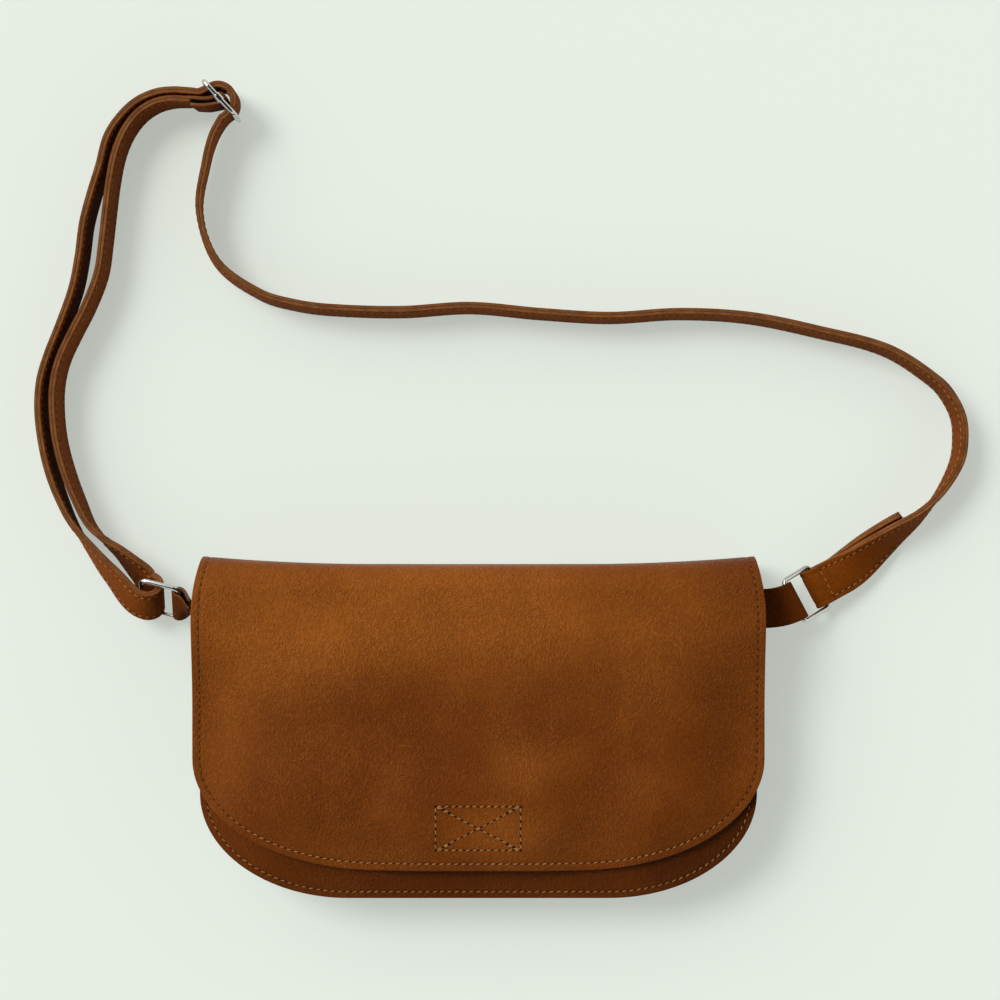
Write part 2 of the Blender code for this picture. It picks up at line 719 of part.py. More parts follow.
# Strap
def resting_height(tilt, below):
    """Height of the strap's middle when its lowest edge is just clear of the ground."""
    return STRAP_WIDTH / 2 * math.sin(tilt) + below * abs(math.cos(tilt)) + STRAP_GROUND_GAP


def route_points(shares):
    """Places along the strap as vectors of x, y, height and tilt."""
    points = []
    for across, rise, tilt, lift in shares:
        tilt = math.radians(tilt)
        spot = loop_place(across, rise, resting_height(tilt, STRAP_HALF) + lift * STRAP_WIDTH)
        points.append(Vector((*spot, tilt)))
    return points


def smooth_route(points):
    """Points at even steps along a smooth curve through the given ones."""
    spans = [(b.xyz - a.xyz).length for a, b in zip(points, points[1:])]
    ways = []
    for step, point in enumerate(points):
        before = max(step - 1, 0)
        after = min(step + 1, len(points) - 1)
        ways.append((points[after] - points[before]) / sum(spans[before:after]))
    route = [points[0]]
    for step, span in enumerate(spans):
        count = max(round(span / ROUTE_STEP), 1)
        for part in range(1, count + 1):
            ends = (points[step], ways[step] * span, points[step + 1], ways[step + 1] * span)
            route.append(hermite(*ends, part / count))
    return route


def route_stations(route, first_way=None, last_way=None):
    """Stations of the strap along a smooth route, tilted as it says."""
    stations = []
    for step, spot in enumerate(route):
        along = (route[min(step + 1, len(route) - 1)] - route[max(step - 1, 0)]).xyz.normalized()
        if step == 0 and first_way:
            along = first_way
        if step == len(route) - 1 and last_way:
            along = last_way
        left = UP.cross(along).normalized()
        across = square_to(left * math.cos(spot.w) + UP * math.sin(spot.w), along)
        stations.append((spot.xyz, across, along.cross(across)))
    return stations


def lap_stations():
    """The strap's sewn end under itself and its loop round the right ring's bar."""
    away = heading_vector(RIGHT_RING_HEADING)
    half_apart = STRAP_HALF + LAP_GAP / 2
    loop = []
    for step in range(TURN_STEPS + 1):
        share = step / TURN_STEPS
        height = half_apart + (LAP_LOOP_RADIUS - half_apart) * ease(1 - share)
        loop.append((RIGHT_STRAP_BAR + away * LAP_LOOP * share + UP * height, RIGHT_BAR, UP))
    arc = []
    for step in range(1, 2 * TURN_STEPS):
        angle = math.pi * step / (2 * TURN_STEPS)
        out = UP * math.cos(angle) - away * math.sin(angle)
        arc.append((RIGHT_STRAP_BAR + out * LAP_LOOP_RADIUS, RIGHT_BAR, out))
    under = []
    for point, across, normal in loop:
        sunk = point - 2 * (point - RIGHT_STRAP_BAR).project(UP)
        under.append((sunk, across, -normal))
    return under[::-1] + arc[::-1] + loop


def strap_stations():
    """All stations of the strap, from its sewn lap round its loops to its end at the slider."""
    lap = lap_stations()
    start = Vector((*lap[-1][0], 0))
    main_points = [start] + route_points(MAIN_SHARES)
    strand = SLIDER_REACH * SLIDER_STRAND_SHARE
    hump_low = SLIDER_REACH * SLIDER_HUMP_SHARE
    hump_radius = math.hypot(strand, hump_low)
    hump_start = math.atan2(hump_low, strand)
    hump = []
    for step in range(TURN_STEPS + 1):
        angle = hump_start + (math.pi - 2 * hump_start) * step / TURN_STEPS
        out = SLIDER_ALONG * math.cos(angle) + SLIDER_THROUGH * math.sin(angle)
        centre = SLIDER_CENTRE - SLIDER_THROUGH * hump_low
        hump.append((centre + out * hump_radius, UP, out))
    main_points.append(Vector((*hump[0][0], math.pi / 2)))
    first_way = heading_vector(RIGHT_RING_HEADING)
    hump_way = (hump[1][0] - hump[0][0]).normalized()
    main = route_stations(smooth_route(main_points), first_way, hump_way)
    under_lap = [station for station in main[1:] if (station[0] - lap[-1][0]).length < LAP_LENGTH]
    tail = [(p - n * (2 * STRAP_HALF + LAP_GAP), a, -n) for p, a, n in under_lap]

    turn_way = -LEFT_REACH
    turn_centre = LEFT_STRAP_BAR + turn_way * TURN_PAST_BAR
    turn_up = turn_way.cross(LEFT_BAR)
    turn = []
    for step in range(2 * TURN_STEPS + 1):
        angle = math.pi * step / (2 * TURN_STEPS)
        out = turn_up * math.cos(angle) + turn_way * math.sin(angle)
        turn.append((turn_centre + out * TURN_RADIUS, LEFT_BAR, out))
    bar_tilt = math.asin(LEFT_BAR.z)
    outer_points = [Vector((*hump[-1][0], math.pi / 2))] + route_points(OUTER_SHARES)
    outer_points.append(Vector((*turn[0][0], bar_tilt)))
    outer = route_stations(smooth_route(outer_points), (hump[-1][0] - hump[-2][0]).normalized(), turn_way)

    wrap_radius = WIRE_RADIUS + WIRE_CLEARANCE - SEAM_GAP / 2 + STRAND_GAP
    wrap = []
    for step in range(TURN_STEPS + 1):
        angle = math.pi - math.pi * step / TURN_STEPS
        out = SLIDER_ALONG * math.cos(angle) + SLIDER_THROUGH * math.sin(angle)
        wrap.append((SLIDER_CENTRE + out * wrap_radius, UP, -out))
    inner_points = [Vector((*turn[-1][0], math.pi - bar_tilt))] + route_points(INNER_SHARES)
    inner_points.append(Vector((*wrap[0][0], math.pi / 2)))
    inner = route_stations(smooth_route(inner_points), -turn_way, SLIDER_THROUGH)
    double = tail[::-1] + lap + main[1:] + hump[1:] + outer[1:] + turn[1:] + inner[1:]
    return double, wrap, inner


def strap():
    """The strap's two sewn layers, the inner one going on alone round the slider's middle bar."""
    double, wrap, inner = strap_stations()
    double_end = len(double)
    while (double[double_end - 1][0] - SLIDER_CENTRE).length < END_SINGLE_LENGTH:
        double_end -= 1
    beside = STRAP_HALF - SEAM_GAP / 2 + STRAND_GAP
    tail = []
    back_along = inner[::-1]
    for point, across, normal in back_along:
        travelled = (point - SLIDER_CENTRE).length
        if STRAP_HALF * 3 < travelled < END_TAIL + STRAP_HALF * 2:
            tail.append((point + normal * beside, across, -normal))
    outer_bm = ribbon(double[:double_end], STRAP_WIDTH, SEAM_GAP / 2, STRAP_HALF)
    inner_bm = ribbon(double + wrap[1:] + tail, STRAP_WIDTH, -STRAP_HALF, -SEAM_GAP / 2)
    place("strap_outer_layer", outer_bm, material("strap outer hide", (0.11, 0.026, 0.004), 0.45))
    place("strap_inner_layer", inner_bm, material("strap inner hide", (0.10, 0.024, 0.004), 0.5))


clear_scene()
back_panel()
front_panel()
gusset()
inner_pocket()
closure()
flap_pieces()
top_band()
ring("ring_right", RIGHT_TAB_BAR, RIGHT_BAR, RIGHT_REACH)
ring("ring_left", LEFT_TAB_BAR, LEFT_BAR, LEFT_REACH)
tab("tab_right", 1, RIGHT_TAB_BAR, RIGHT_BAR, heading_vector(RIGHT_RING_HEADING))
tab("tab_left", -1, LEFT_TAB_BAR, LEFT_BAR, LEFT_REACH)
slider()
strap()
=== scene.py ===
import math

import bmesh
import bpy
from mathutils import Matrix, Vector, noise


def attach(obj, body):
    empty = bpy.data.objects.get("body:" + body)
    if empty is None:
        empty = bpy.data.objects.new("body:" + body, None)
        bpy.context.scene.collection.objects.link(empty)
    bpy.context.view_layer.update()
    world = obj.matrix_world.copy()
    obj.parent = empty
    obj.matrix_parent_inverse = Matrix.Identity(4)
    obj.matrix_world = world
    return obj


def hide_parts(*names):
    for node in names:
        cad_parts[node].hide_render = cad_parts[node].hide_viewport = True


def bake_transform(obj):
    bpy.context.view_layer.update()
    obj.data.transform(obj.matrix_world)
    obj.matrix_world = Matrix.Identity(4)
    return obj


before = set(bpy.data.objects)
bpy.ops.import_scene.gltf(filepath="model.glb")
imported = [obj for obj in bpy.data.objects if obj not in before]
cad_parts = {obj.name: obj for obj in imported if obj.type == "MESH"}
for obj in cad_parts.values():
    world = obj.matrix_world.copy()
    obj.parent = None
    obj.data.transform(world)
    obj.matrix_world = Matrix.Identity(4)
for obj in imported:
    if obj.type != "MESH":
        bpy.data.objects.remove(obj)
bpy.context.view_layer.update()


# Back hide
# The bag lies on this part of one long hide, 1.8 mm thick, which goes on over the top and becomes the flap.
# It turns up at a soft crease; its cut edges are left raw and it is sewn to the gusset all round.
HIDE = 0.0018
SEAM_GAP = 0.0003
BODY_HALF = 0.1410
BODY_TOP = 0.0828
BODY_BOTTOM = -0.0855
BODY_CORNER_WIDTH = 0.0750
BODY_CORNER_HEIGHT = 0.0530
CORNER_Y = BODY_BOTTOM + BODY_CORNER_HEIGHT
MOUTH_SHARE = 0.5
EDGE_INSETS = (0, 0.0007, 0.0014, 0.0020, 0.0025, 0.0030, 0.0034, 0.0038)
EDGE_INSETS += (0.0042, 0.0047, 0.0055, 0.0068, 0.0085)
INWARD_SHARES = (0.02, 0.045, 0.07, 0.10, 0.13, 0.16, 0.19, 0.22, 0.25, 0.285, 0.32, 0.36)
INWARD_SHARES += (0.40, 0.45, 0.5, 0.56, 0.62, 0.69, 0.76, 0.84, 0.92, 1)
SIDE_STEPS = 26
CORNER_STEPS = 34
BOTTOM_STEPS = 20
EDGE_ROUND = 0.00045
WELD = 0.000002
GROOVE_DEPTH = 0.00028
GROOVE_SPREAD = 0.0007
GRAIN_RELIEF = 0.00047
FIBRE_RELIEF = 0.00025
UP = Vector((0, 0, 1))

FOLD_TOP = 0.0472
FOLD_BULGE = 0.0045
FOOT_RADIUS = 0.0026
FOOT_STEPS = 8
WALL_STEPS = 6
FOOT_Y = BODY_TOP - HIDE / 2
BACK_TOP_Y = FOOT_Y - FOOT_RADIUS
BACK_SEAM = 0.0030
JOIN_HEIGHT = 0.0200
JOIN_STEP = 0.0020
BAND_HALF = 0.1403


def ease(share):
    """A smooth step from 0 to 1."""
    share = min(max(share, 0), 1)
    return share * share * (3 - 2 * share)


def quarter_turn(steps, first=1):
    """Cosines and sines at even steps of a quarter turn."""
    angles = [math.pi / 2 * step / steps for step in range(first, steps + 1)]
    return [(math.cos(angle), math.sin(angle)) for angle in angles]


def u_outline(half_width, side_heights, bottom, corner_width, corner_height, narrowing=None):
    """Places down the right side, round the corner and along the bottom, then back up the left."""
    corner_y = bottom + corner_height
    right = [(half_width - (narrowing(y) if narrowing else 0), y) for y in side_heights]
    for cos, sin in quarter_turn(CORNER_STEPS, 0)[:-1]:
        right.append((half_width - corner_width * (1 - cos), corner_y - corner_height * sin))
    for step in range(BOTTOM_STEPS):
        right.append(((half_width - corner_width) * (1 - step / BOTTOM_STEPS), bottom))
    return right + [(0, bottom)] + [(-x, y) for x, y in reversed(right)]


def side_steps(top, foot, count):
    return [top + (foot - top) * step / count for step in range(count)]


def body_outline(side_heights, inset=0):
    corner = (BODY_CORNER_WIDTH - inset, BODY_CORNER_HEIGHT - inset)
    return u_outline(BODY_HALF - inset, side_heights, BODY_BOTTOM + inset, *corner)


def panel_rows(outline_at):
    """Rows of places from a panel's cut edge inward, each row with its distance from the edge."""
    rows = [(inset, outline_at(inset)) for inset in EDGE_INSETS]
    last_outline = rows[-1][1]
    half_width, top = last_outline[0]
    last = len(last_outline) - 1
    for share in INWARD_SHARES:
        row = []
        for step, (x, y) in enumerate(last_outline):
            target = half_width * MOUTH_SHARE * (1 - 2 * step / last)
            row.append((x + (target - x) * share, y + (top - y) * share))
        rows.append((math.inf, row))
    return rows


def groove(distance, seam_at):
    """How deep the thread pulls the hide in at a distance from its edge."""
    return GROOVE_DEPTH * math.exp(-(((distance - seam_at) / GROOVE_SPREAD) ** 2)) if seam_at else 0


def panel_grid(rows, seam_at, grain_at, flesh_at):
    """A panel's grid from the heights of its grain, pulled in along its seam, and of its flesh."""
    grid = []
    for distance, row in rows:
        sunk = groove(distance, seam_at)
        grid.append([(Vector((x, y, grain_at(x, y) - sunk)), Vector((x, y, flesh_at(x, y)))) for x, y in row])
    return grid


def face_outward(bm):
    bmesh.ops.recalc_face_normals(bm, faces=bm.faces)
    if bm.calc_volume(signed=True) < 0:
        bmesh.ops.reverse_faces(bm, faces=bm.faces)


def round_edges(bm, edges, offset):
    bmesh.ops.bevel(
        bm,
        geom=edges,
        offset=offset,
        segments=2,
        profile=0.5,
        affect="EDGES",
        clamp_overlap=True,
        material=-1,
    )


def hide_mesh(grids, round_by=EDGE_ROUND, whole_at=None, cut_out=None):
    """Hide through grids of (grain place, flesh place), its grain, raw edge and flesh in slots 0, 1 and 2."""
    bm = bmesh.new()
    flesh_place = bm.verts.layers.float_vector.new("flesh_place")
    for grid in grids:
        before = len(bm.verts)
        bmesh.ops.create_grid(bm, x_segments=len(grid[0]) - 1, y_segments=len(grid) - 1, size=1)
        bm.verts.ensure_lookup_table()
        for vert, (grain, flesh) in zip(bm.verts[before:], [pair for row in grid for pair in row]):
            vert.co = grain
            vert[flesh_place] = flesh
    if cut_out:
        gone = [face for face in bm.faces if cut_out(face.calc_center_median())]
        bmesh.ops.delete(bm, geom=gone, context="FACES")
    bmesh.ops.remove_doubles(bm, verts=bm.verts, dist=WELD)
    grain_faces = bm.faces[:]
    raised = bmesh.ops.extrude_face_region(bm, geom=grain_faces, use_keep_orig=True)["geom"]
    flesh_faces = {item for item in raised if isinstance(item, bmesh.types.BMFace)}
    for vert in (item for item in raised if isinstance(item, bmesh.types.BMVert)):
        vert.co = vert[flesh_place]
    for face in bm.faces:
        face.material_index = 2 if face in flesh_faces else 1
    for face in grain_faces:
        face.material_index = 0
    face_outward(bm)
    if round_by:
        cut_edges = [edge for edge in bm.edges if len({face.material_index for face in edge.link_faces}) > 1]
        for edge in cut_edges:
            edge.smooth = not (whole_at and all(whole_at(vert.co) for vert in edge.verts))
        round_edges(bm, [edge for edge in cut_edges if edge.smooth], round_by)
    return bm


def mesh_of(name, bm):
    mesh = bpy.data.meshes.new(name)
    bm.to_mesh(mesh)
    bm.free()
    return mesh


def linked(name, data):
    item = bpy.data.objects.new(name, data)
    bpy.context.collection.objects.link(item)
    return item


def made(name, bm, surfaces):
    """The mesh as an object at the origin, in its materials."""
    for face in bm.faces:
        face.smooth = True
    mesh = mesh_of(name, bm)
    for surface in surfaces:
        mesh.materials.append(surface)
    piece = linked(name, mesh)
    return piece


def hide_piece(name, bm, grain):
    """A piece of hide in its own grain, with the raw edge and the flesh side that all hides share."""
    return made(name, bm, [grain, RAW_EDGE, FLESH_SIDE])


def node(tree, kind, inputs=None, **settings):
    """A shader node with its settings and its inputs, which are values or other nodes' outputs."""
    new = tree.nodes.new(kind)
    for setting, value in settings.items():
        setattr(new, setting, value)
    for socket, value in (inputs or {}).items():
        if isinstance(value, bpy.types.NodeSocket):
            tree.links.new(value, new.inputs[socket])
        else:
            new.inputs[socket].default_value = value
    return new


def maths(operation, *values, clamp=False):
    """A sum or the like, in the node tree of its first value."""
    inputs, tree = dict(enumerate(values)), values[0].id_data
    return node(tree, "ShaderNodeMath", inputs, operation=operation, use_clamp=clamp).outputs[0]


def times(value, by):
    return maths("MULTIPLY", value, by)


def total(*values, clamp=False):
    """The sum of two or three values."""
    first = maths("ADD", *values[:2], clamp=clamp and len(values) == 2)
    return maths("ADD", first, values[2], clamp=clamp) if len(values) > 2 else first


def vector_maths(operation, *values):
    inputs, tree = dict(enumerate(values)), values[0].id_data
    return node(tree, "ShaderNodeVectorMath", inputs, operation=operation).outputs[0]


def mixed(share, low, high):
    """A colour between two, by a share."""
    inputs = {0: share, 6: low, 7: high}
    return node(share.id_data, "ShaderNodeMix", inputs, data_type="RGBA").outputs[2]


def ranged(value, low, high, to_low=0.0, to_high=1.0):
    """A value taken smoothly from one range to another."""
    inputs = {"Value": value, "From Min": low, "From Max": high, "To Min": to_low, "To Max": to_high}
    smooth = node(value.id_data, "ShaderNodeMapRange", inputs, interpolation_type="SMOOTHSTEP")
    return smooth.outputs["Result"]


def effect(name, inputs, outputs):
    """An empty node group with its named sockets."""
    tree = bpy.data.node_groups.new(name, "ShaderNodeTree")
    for label, kind in inputs:
        tree.interface.new_socket(label, in_out="INPUT", socket_type="NodeSocket" + kind)
    for label in outputs:
        tree.interface.new_socket(label, in_out="OUTPUT", socket_type="NodeSocketFloat")
    return tree, tree.nodes.new("NodeGroupInput").outputs, tree.nodes.new("NodeGroupOutput").inputs


def noise_at(place, scale, detail=2.0, roughness=0.5, distortion=0.0):
    values = (place, scale, detail, roughness, distortion)
    inputs = dict(zip(("Vector", "Scale", "Detail", "Roughness", "Distortion"), values))
    return node(place.id_data, "ShaderNodeTexNoise", inputs).outputs


def cells_at(place, scale, **settings):
    inputs = {"Vector": place, "Scale": scale}
    return node(place.id_data, "ShaderNodeTexVoronoi", inputs, **settings)


def strayed(place, scale, reach, middle):
    """A place moved about by noise, so that a pattern on it wanders."""
    drift = vector_maths("SUBTRACT", noise_at(place, scale)["Color"], (middle,) * 3)
    return vector_maths("MULTIPLY_ADD", drift, (reach,) * 3, place)


def pebbled_grain():
    """Fine pebbles with creases between them, a mask of painted shade for the creases, soft clouds of tone,
    pores, and a few dry scratches.
    """
    inputs = (("Place", "Vector"), ("Pebbles", "Float"), ("Clouds", "Float"), ("Stretch", "Vector"))
    tree, given, result = effect("pebbled grain", inputs, ("Height", "Valley shade", "Tone", "Speckle", "Scratch"))
    place, pebbles = given["Place"], given["Pebbles"]
    moved = strayed(place, times(pebbles, 0.3), 0.0011, 0.5)
    cells = cells_at(moved, pebbles, feature="SMOOTH_F1")
    cells.inputs["Smoothness"].default_value = 0.45
    dome = ranged(cells.outputs["Distance"], 0.12, 0.72, 1.0, 0.0)
    stretched = vector_maths("MULTIPLY", moved, given["Stretch"])
    folds = noise_at(stretched, times(pebbles, 0.72), 3.0, 0.6, 0.6)["Fac"]
    folds = ranged(folds, 0.34, 0.62)
    pores = noise_at(place, times(pebbles, 2.6))["Fac"]
    height = total(times(dome, 0.5), times(folds, 0.42), times(pores, 0.12))
    firmness = ranged(noise_at(place, 26.0)["Fac"], 0.36, 0.62, 0.65, 1.15)
    height = maths("MULTIPLY_ADD", maths("SUBTRACT", height, 0.52), firmness, 0.52)
    clouds = noise_at(place, given["Clouds"], 2.5, 0.5, 0.3)["Fac"]
    speckle = noise_at(stretched, times(pebbles, 1.1), 2.0, 0.6)["Fac"]
    lines = cells_at(strayed(place, 38.0, 0.02, 0), 26.0, feature="DISTANCE_TO_EDGE")
    hair = ranged(lines.outputs["Distance"], 0.002, 0.010, 1.0, 0.0)
    patches = ranged(noise_at(place, 55.0)["Fac"], 0.60, 0.66)
    found = {
        "Height": height,
        # A mask for painted shade in the grain's creases.
        "Valley shade": ranged(height, 0.30, 0.72, 1.0, 0.0),
        "Tone": ranged(clouds, 0.30, 0.72),
        "Speckle": ranged(speckle, 0.36, 0.66),
        "Scratch": times(hair, patches),
    }
    for label, value in found.items():
        tree.links.new(value, result[label])
    return tree


PEBBLED_GRAIN = pebbled_grain()


def new_surface(name, roughness, gloss):
    """A new material with its shader, and the place on the piece that its patterns follow."""
    surface = bpy.data.materials.new(name)
    surface.use_nodes = True
    shader = surface.node_tree.nodes["Principled BSDF"]
    shader.inputs["Roughness"].default_value = roughness
    shader.inputs["Specular IOR Level"].default_value = gloss
    return surface, shader, node(surface.node_tree, "ShaderNodeTexCoord").outputs["Object"]


def relief(shader, height, strength, distance):
    inputs = {"Strength": strength, "Distance": distance, "Height": height}
    bump = node(shader.id_data, "ShaderNodeBump", inputs)
    shader.id_data.links.new(bump.outputs[0], shader.inputs["Normal"])


def dye(shader, tone, dark, light):
    shader.id_data.links.new(mixed(tone, (*dark, 1), (*light, 1)), shader.inputs["Base Color"])


def grain_leather(name, dark, light, pebbles=1130.0, depth=1.0, roughness=0.38, gloss=0.052, painted_light_and_shade=()):
    """Dyed grain leather, with any soft patches of painted light and shade that are given to it."""
    surface, shader, place = new_surface(name, roughness, gloss)
    tree = surface.node_tree
    inputs = {"Place": place, "Pebbles": pebbles, "Clouds": 22.0, "Stretch": (1.0, 0.55, 1.0)}
    grain = node(tree, "ShaderNodeGroup", inputs, node_tree=PEBBLED_GRAIN).outputs
    tone = total(times(grain["Tone"], 0.18), times(grain["Speckle"], 0.10), 0.085)
    # Each patch paints light (a positive amount) or shade (a negative amount) into the tone.
    for centre, reach, amount in painted_light_and_shade:
        inputs = {"Vector": place, "Location": centre, "Scale": reach}
        at = node(tree, "ShaderNodeMapping", inputs, vector_type="TEXTURE").outputs[0]
        spot = node(tree, "ShaderNodeTexGradient", {0: at}, gradient_type="SPHERICAL").outputs["Fac"]
        tone = total(tone, times(ranged(spot, 0.0, 0.85), amount))
    tone = total(tone, times(grain["Scratch"], 0.22), clamp=True)
    colour = mixed(tone, (*dark, 1), (*light, 1))
    # Painted shade: the colour is darkened in the grain's creases, where shade would fall.
    valley_shade_colour = [part * share for part, share in zip(dark, (0.42, 0.36, 0.30))]
    colour = mixed(times(grain["Valley shade"], 0.26), colour, (*valley_shade_colour, 1))
    tree.links.new(colour, shader.inputs["Base Color"])
    rough = ranged(grain["Height"], 0.2, 0.9, roughness + 0.12, roughness - 0.05)
    tree.links.new(rough, shader.inputs["Roughness"])
    relief(shader, grain["Height"], depth, GRAIN_RELIEF)
    return surface


def fibrous(name, dark, light, fine, coarse, roughness, depth=0.5, sheen=0.0):
    """Bare fibres, such as a rubbed cut edge or the matted inner side of a hide."""
    surface, shader, place = new_surface(name, roughness, 0.15)
    fibres = noise_at(place, fine, 3.0, 0.65, 0.5)["Fac"]
    blotch = noise_at(place, coarse, 3.0, 0.6)["Fac"]
    tone = total(times(fibres, 0.55), times(blotch, 0.5))
    dye(shader, ranged(tone, 0.35, 0.72), dark, light)
    shader.inputs["Sheen Weight"].default_value = sheen
    relief(shader, fibres, depth, FIBRE_RELIEF)
    return surface


# Painted light and shade on the long hide: lighter towards the upper left and round the boxed cross, where
# the light falls, and a little darker at the centre and lower left.
PAINTED_LIGHT_AND_SHADE_PATCHES = (
    ((-0.035, 0.060, 0.045), (0.200, 0.052, 0.080), 0.42),
    ((0.095, 0.058, 0.045), (0.070, 0.040, 0.060), 0.12),
    ((-0.100, 0.035, 0.045), (0.055, 0.050, 0.060), 0.16),
    ((-0.135, 0.000, 0.045), (0.026, 0.070, 0.060), 0.12),
    ((-0.028, 0.000, 0.045), (0.050, 0.045, 0.060), -0.05),
    ((0.021, -0.020, 0.045), (0.026, 0.020, 0.060), 0.15),
    ((0.066, 0.016, 0.045), (0.030, 0.022, 0.060), 0.09),
    ((0.008, -0.050, 0.045), (0.046, 0.020, 0.060), 0.24),
    ((-0.090, -0.035, 0.045), (0.050, 0.040, 0.060), -0.06),
)
LONG_HIDE_SHADES = ((0.111, 0.0222, 0.0006), (0.388, 0.113, 0.0135))
LONG_HIDE_GRAIN = grain_leather("long hide grain with painted light and shade", *LONG_HIDE_SHADES, painted_light_and_shade=PAINTED_LIGHT_AND_SHADE_PATCHES)
RAW_EDGE = fibrous("raw golden edge", (0.100, 0.031, 0.006), (0.235, 0.086, 0.020), 1500.0, 160.0, 0.7)
FLESH_SHADES = ((0.105, 0.040, 0.012), (0.21, 0.095, 0.036))
FLESH_SIDE = fibrous("matt flesh side", *FLESH_SHADES, 1100.0, 35.0, 0.92, depth=0.7, sheen=0.15)


def fold_bulge(across_share, height):
    """How far the fold's wall stands out at one column, most at its two corners."""
    rise = (height - HIDE / 2) / (FOLD_TOP - HIDE)
    return FOLD_BULGE * abs(across_share) ** 3 * math.sin(math.pi * min(max(rise, 0), 1))


def fold_way_out(path, step, share):
    """The way out of the hide at a step of a path of (y, z), in the column at a share of its half width."""
    ends = [Vector((0, y + fold_bulge(share, z), z)) for y, z in (path[step - 1], path[step + 1])]
    along = ends[1] - ends[0]
    return Vector((0, along.z, -along.y)).normalized()


def along_path(path, columns, half_width_at, seam_at, flat_step):
    """A grid of hide along the inner places of a path of (y, z); the hide lies level at one step."""
    grid = []
    for step in range(1, len(path) - 1):
        y, z = path[step]
        row = []
        for share, distance in columns:
            out = fold_way_out(path, step, share)
            if step == flat_step:
                out = UP * math.copysign(1, out.z)
            middle = Vector((share * half_width_at(y, z), y + fold_bulge(share, z), z))
            row.append((middle + out * (HIDE / 2 - groove(distance, seam_at)), middle - out * HIDE / 2))
        grid.append(row)
    return grid


def top_columns(rows, half_width):
    """The columns across a panel's open top, as the ends of its rows and its last row leave them."""
    columns = [(row[0][0] / half_width, distance) for distance, row in rows]
    inner = [(x / half_width, math.inf) for x, y in rows[-1][1][1:-1]]
    return columns + inner + [(-share, distance) for share, distance in reversed(columns)]


def back_mesh():
    rows = panel_rows(lambda inset: body_outline(side_steps(BACK_TOP_Y, CORNER_Y, SIDE_STEPS), inset))
    flat = []
    for distance, row in rows:
        sunk = groove(distance, BACK_SEAM)
        flat.append([(Vector((x, y, sunk)), Vector((x, y, HIDE))) for x, y in row])
    path = [(BACK_TOP_Y - FOOT_RADIUS / 8, HIDE / 2)]
    for cos, sin in quarter_turn(FOOT_STEPS, 0):
        path.append((BACK_TOP_Y + FOOT_RADIUS * sin, HIDE / 2 + FOOT_RADIUS * (1 - cos)))
    foot_top = path[-1][1]
    for step in range(1, WALL_STEPS + 1):
        path.append((FOOT_Y, foot_top + (JOIN_HEIGHT - JOIN_STEP - foot_top) * step / WALL_STEPS))
    path += [(FOOT_Y, JOIN_HEIGHT), (FOOT_Y, JOIN_HEIGHT + JOIN_STEP)]

    def half_width_at(y, z):
        return BODY_HALF + (BAND_HALF - BODY_HALF) * ease((z - HIDE / 2) / FOOT_RADIUS)

    wall = along_path(path, top_columns(rows, BODY_HALF), half_width_at, BACK_SEAM, 1)
    return hide_mesh([flat, wall], whole_at=lambda place: place.z > JOIN_HEIGHT - SEAM_GAP)


back = hide_piece("back_hide", back_mesh(), LONG_HIDE_GRAIN)
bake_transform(back)
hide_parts("back_panel", "top_band")


# Slip pocket
# A small pocket of thinner split leather inside the bag, its cut top left plain.
# It is sewn down to the back hide along three sides.
POCKET_HIDE = 0.0012
POCKET_HALF = 0.0750
POCKET_TOP = BODY_TOP - 0.0300
POCKET_BOTTOM = POCKET_TOP - 0.1000
POCKET_CORNER = 0.0100
POCKET_SIDE_STEPS = 20
POCKET_SEAM = 0.0034
SPLIT_DARK = (0.140, 0.042, 0.0105)
SPLIT_LIGHT = (0.235, 0.078, 0.0210)
POCKET_GRAIN = grain_leather("pocket split leather", SPLIT_DARK, SPLIT_LIGHT, 950.0, 0.5, 0.62, 0.15)

THREAD_RADIUS = 0.00029
STITCH_PITCH = 0.0037
STITCH_SHARE = 0.31
STITCH_SLANT = 0.24
HOLE_SIZE = (0.00086, 0.00046, 0.00010)
PLY_RELIEF = 0.0001
PROBE = 0.001


def pocket_outline(inset):
    heights = side_steps(POCKET_TOP, POCKET_BOTTOM + POCKET_CORNER, POCKET_SIDE_STEPS)
    corner = POCKET_CORNER - inset
    return u_outline(POCKET_HALF - inset, heights, POCKET_BOTTOM + inset, corner, corner)


def pocket_mesh():
    low = HIDE + SEAM_GAP / 2
    high = low + SEAM_GAP / 2 + POCKET_HIDE
    rows = panel_rows(pocket_outline)
    return hide_mesh([panel_grid(rows, POCKET_SEAM, lambda x, y: high, lambda x, y: low)])


def stitch_mesh():
    """One stitch, a unit spindle lying along Z, for copying."""
    bm = bmesh.new()
    bmesh.ops.create_uvsphere(bm, u_segments=8, v_segments=6, radius=1)
    return mesh_of("one stitch", bm)


ONE_STITCH = stitch_mesh()


def even_places(path, pitch):
    """Places and normals at even steps along a path of both, a whole number of steps in all."""
    travelled = [0]
    for (place, _), (after, _) in zip(path, path[1:]):
        travelled.append(travelled[-1] + (after - place).length)
    count = max(round(travelled[-1] / pitch), 1)
    spots = []
    at = 0
    for target in (travelled[-1] * step / count for step in range(count + 1)):
        while at < len(path) - 2 and travelled[at + 1] < target:
            at += 1
        share = (target - travelled[at]) / (travelled[at + 1] - travelled[at])
        (place, normal), (after, after_normal) = path[at], path[at + 1]
        spots.append((place.lerp(after, share), normal.lerp(after_normal, share).normalized()))
    return spots


def square_to(direction, axis):
    return (direction - direction.project(axis)).normalized()


def spindle(bm, centre, along, normal, size, slot):
    """A copy of the one stitch, sized along, across and out from the hide."""
    length, width, rise = size
    turned = Matrix((normal.cross(along) * width, normal * rise, along * length)).transposed().to_4x4()
    first_vert, first_face = len(bm.verts), len(bm.faces)
    bm.from_mesh(ONE_STITCH)
    bm.verts.ensure_lookup_table()
    bm.faces.ensure_lookup_table()
    moved = Matrix.Translation(centre) @ turned
    for vert in bm.verts[first_vert:]:
        vert.co = moved @ vert.co
    for face in bm.faces[first_face:]:
        face.material_index = slot


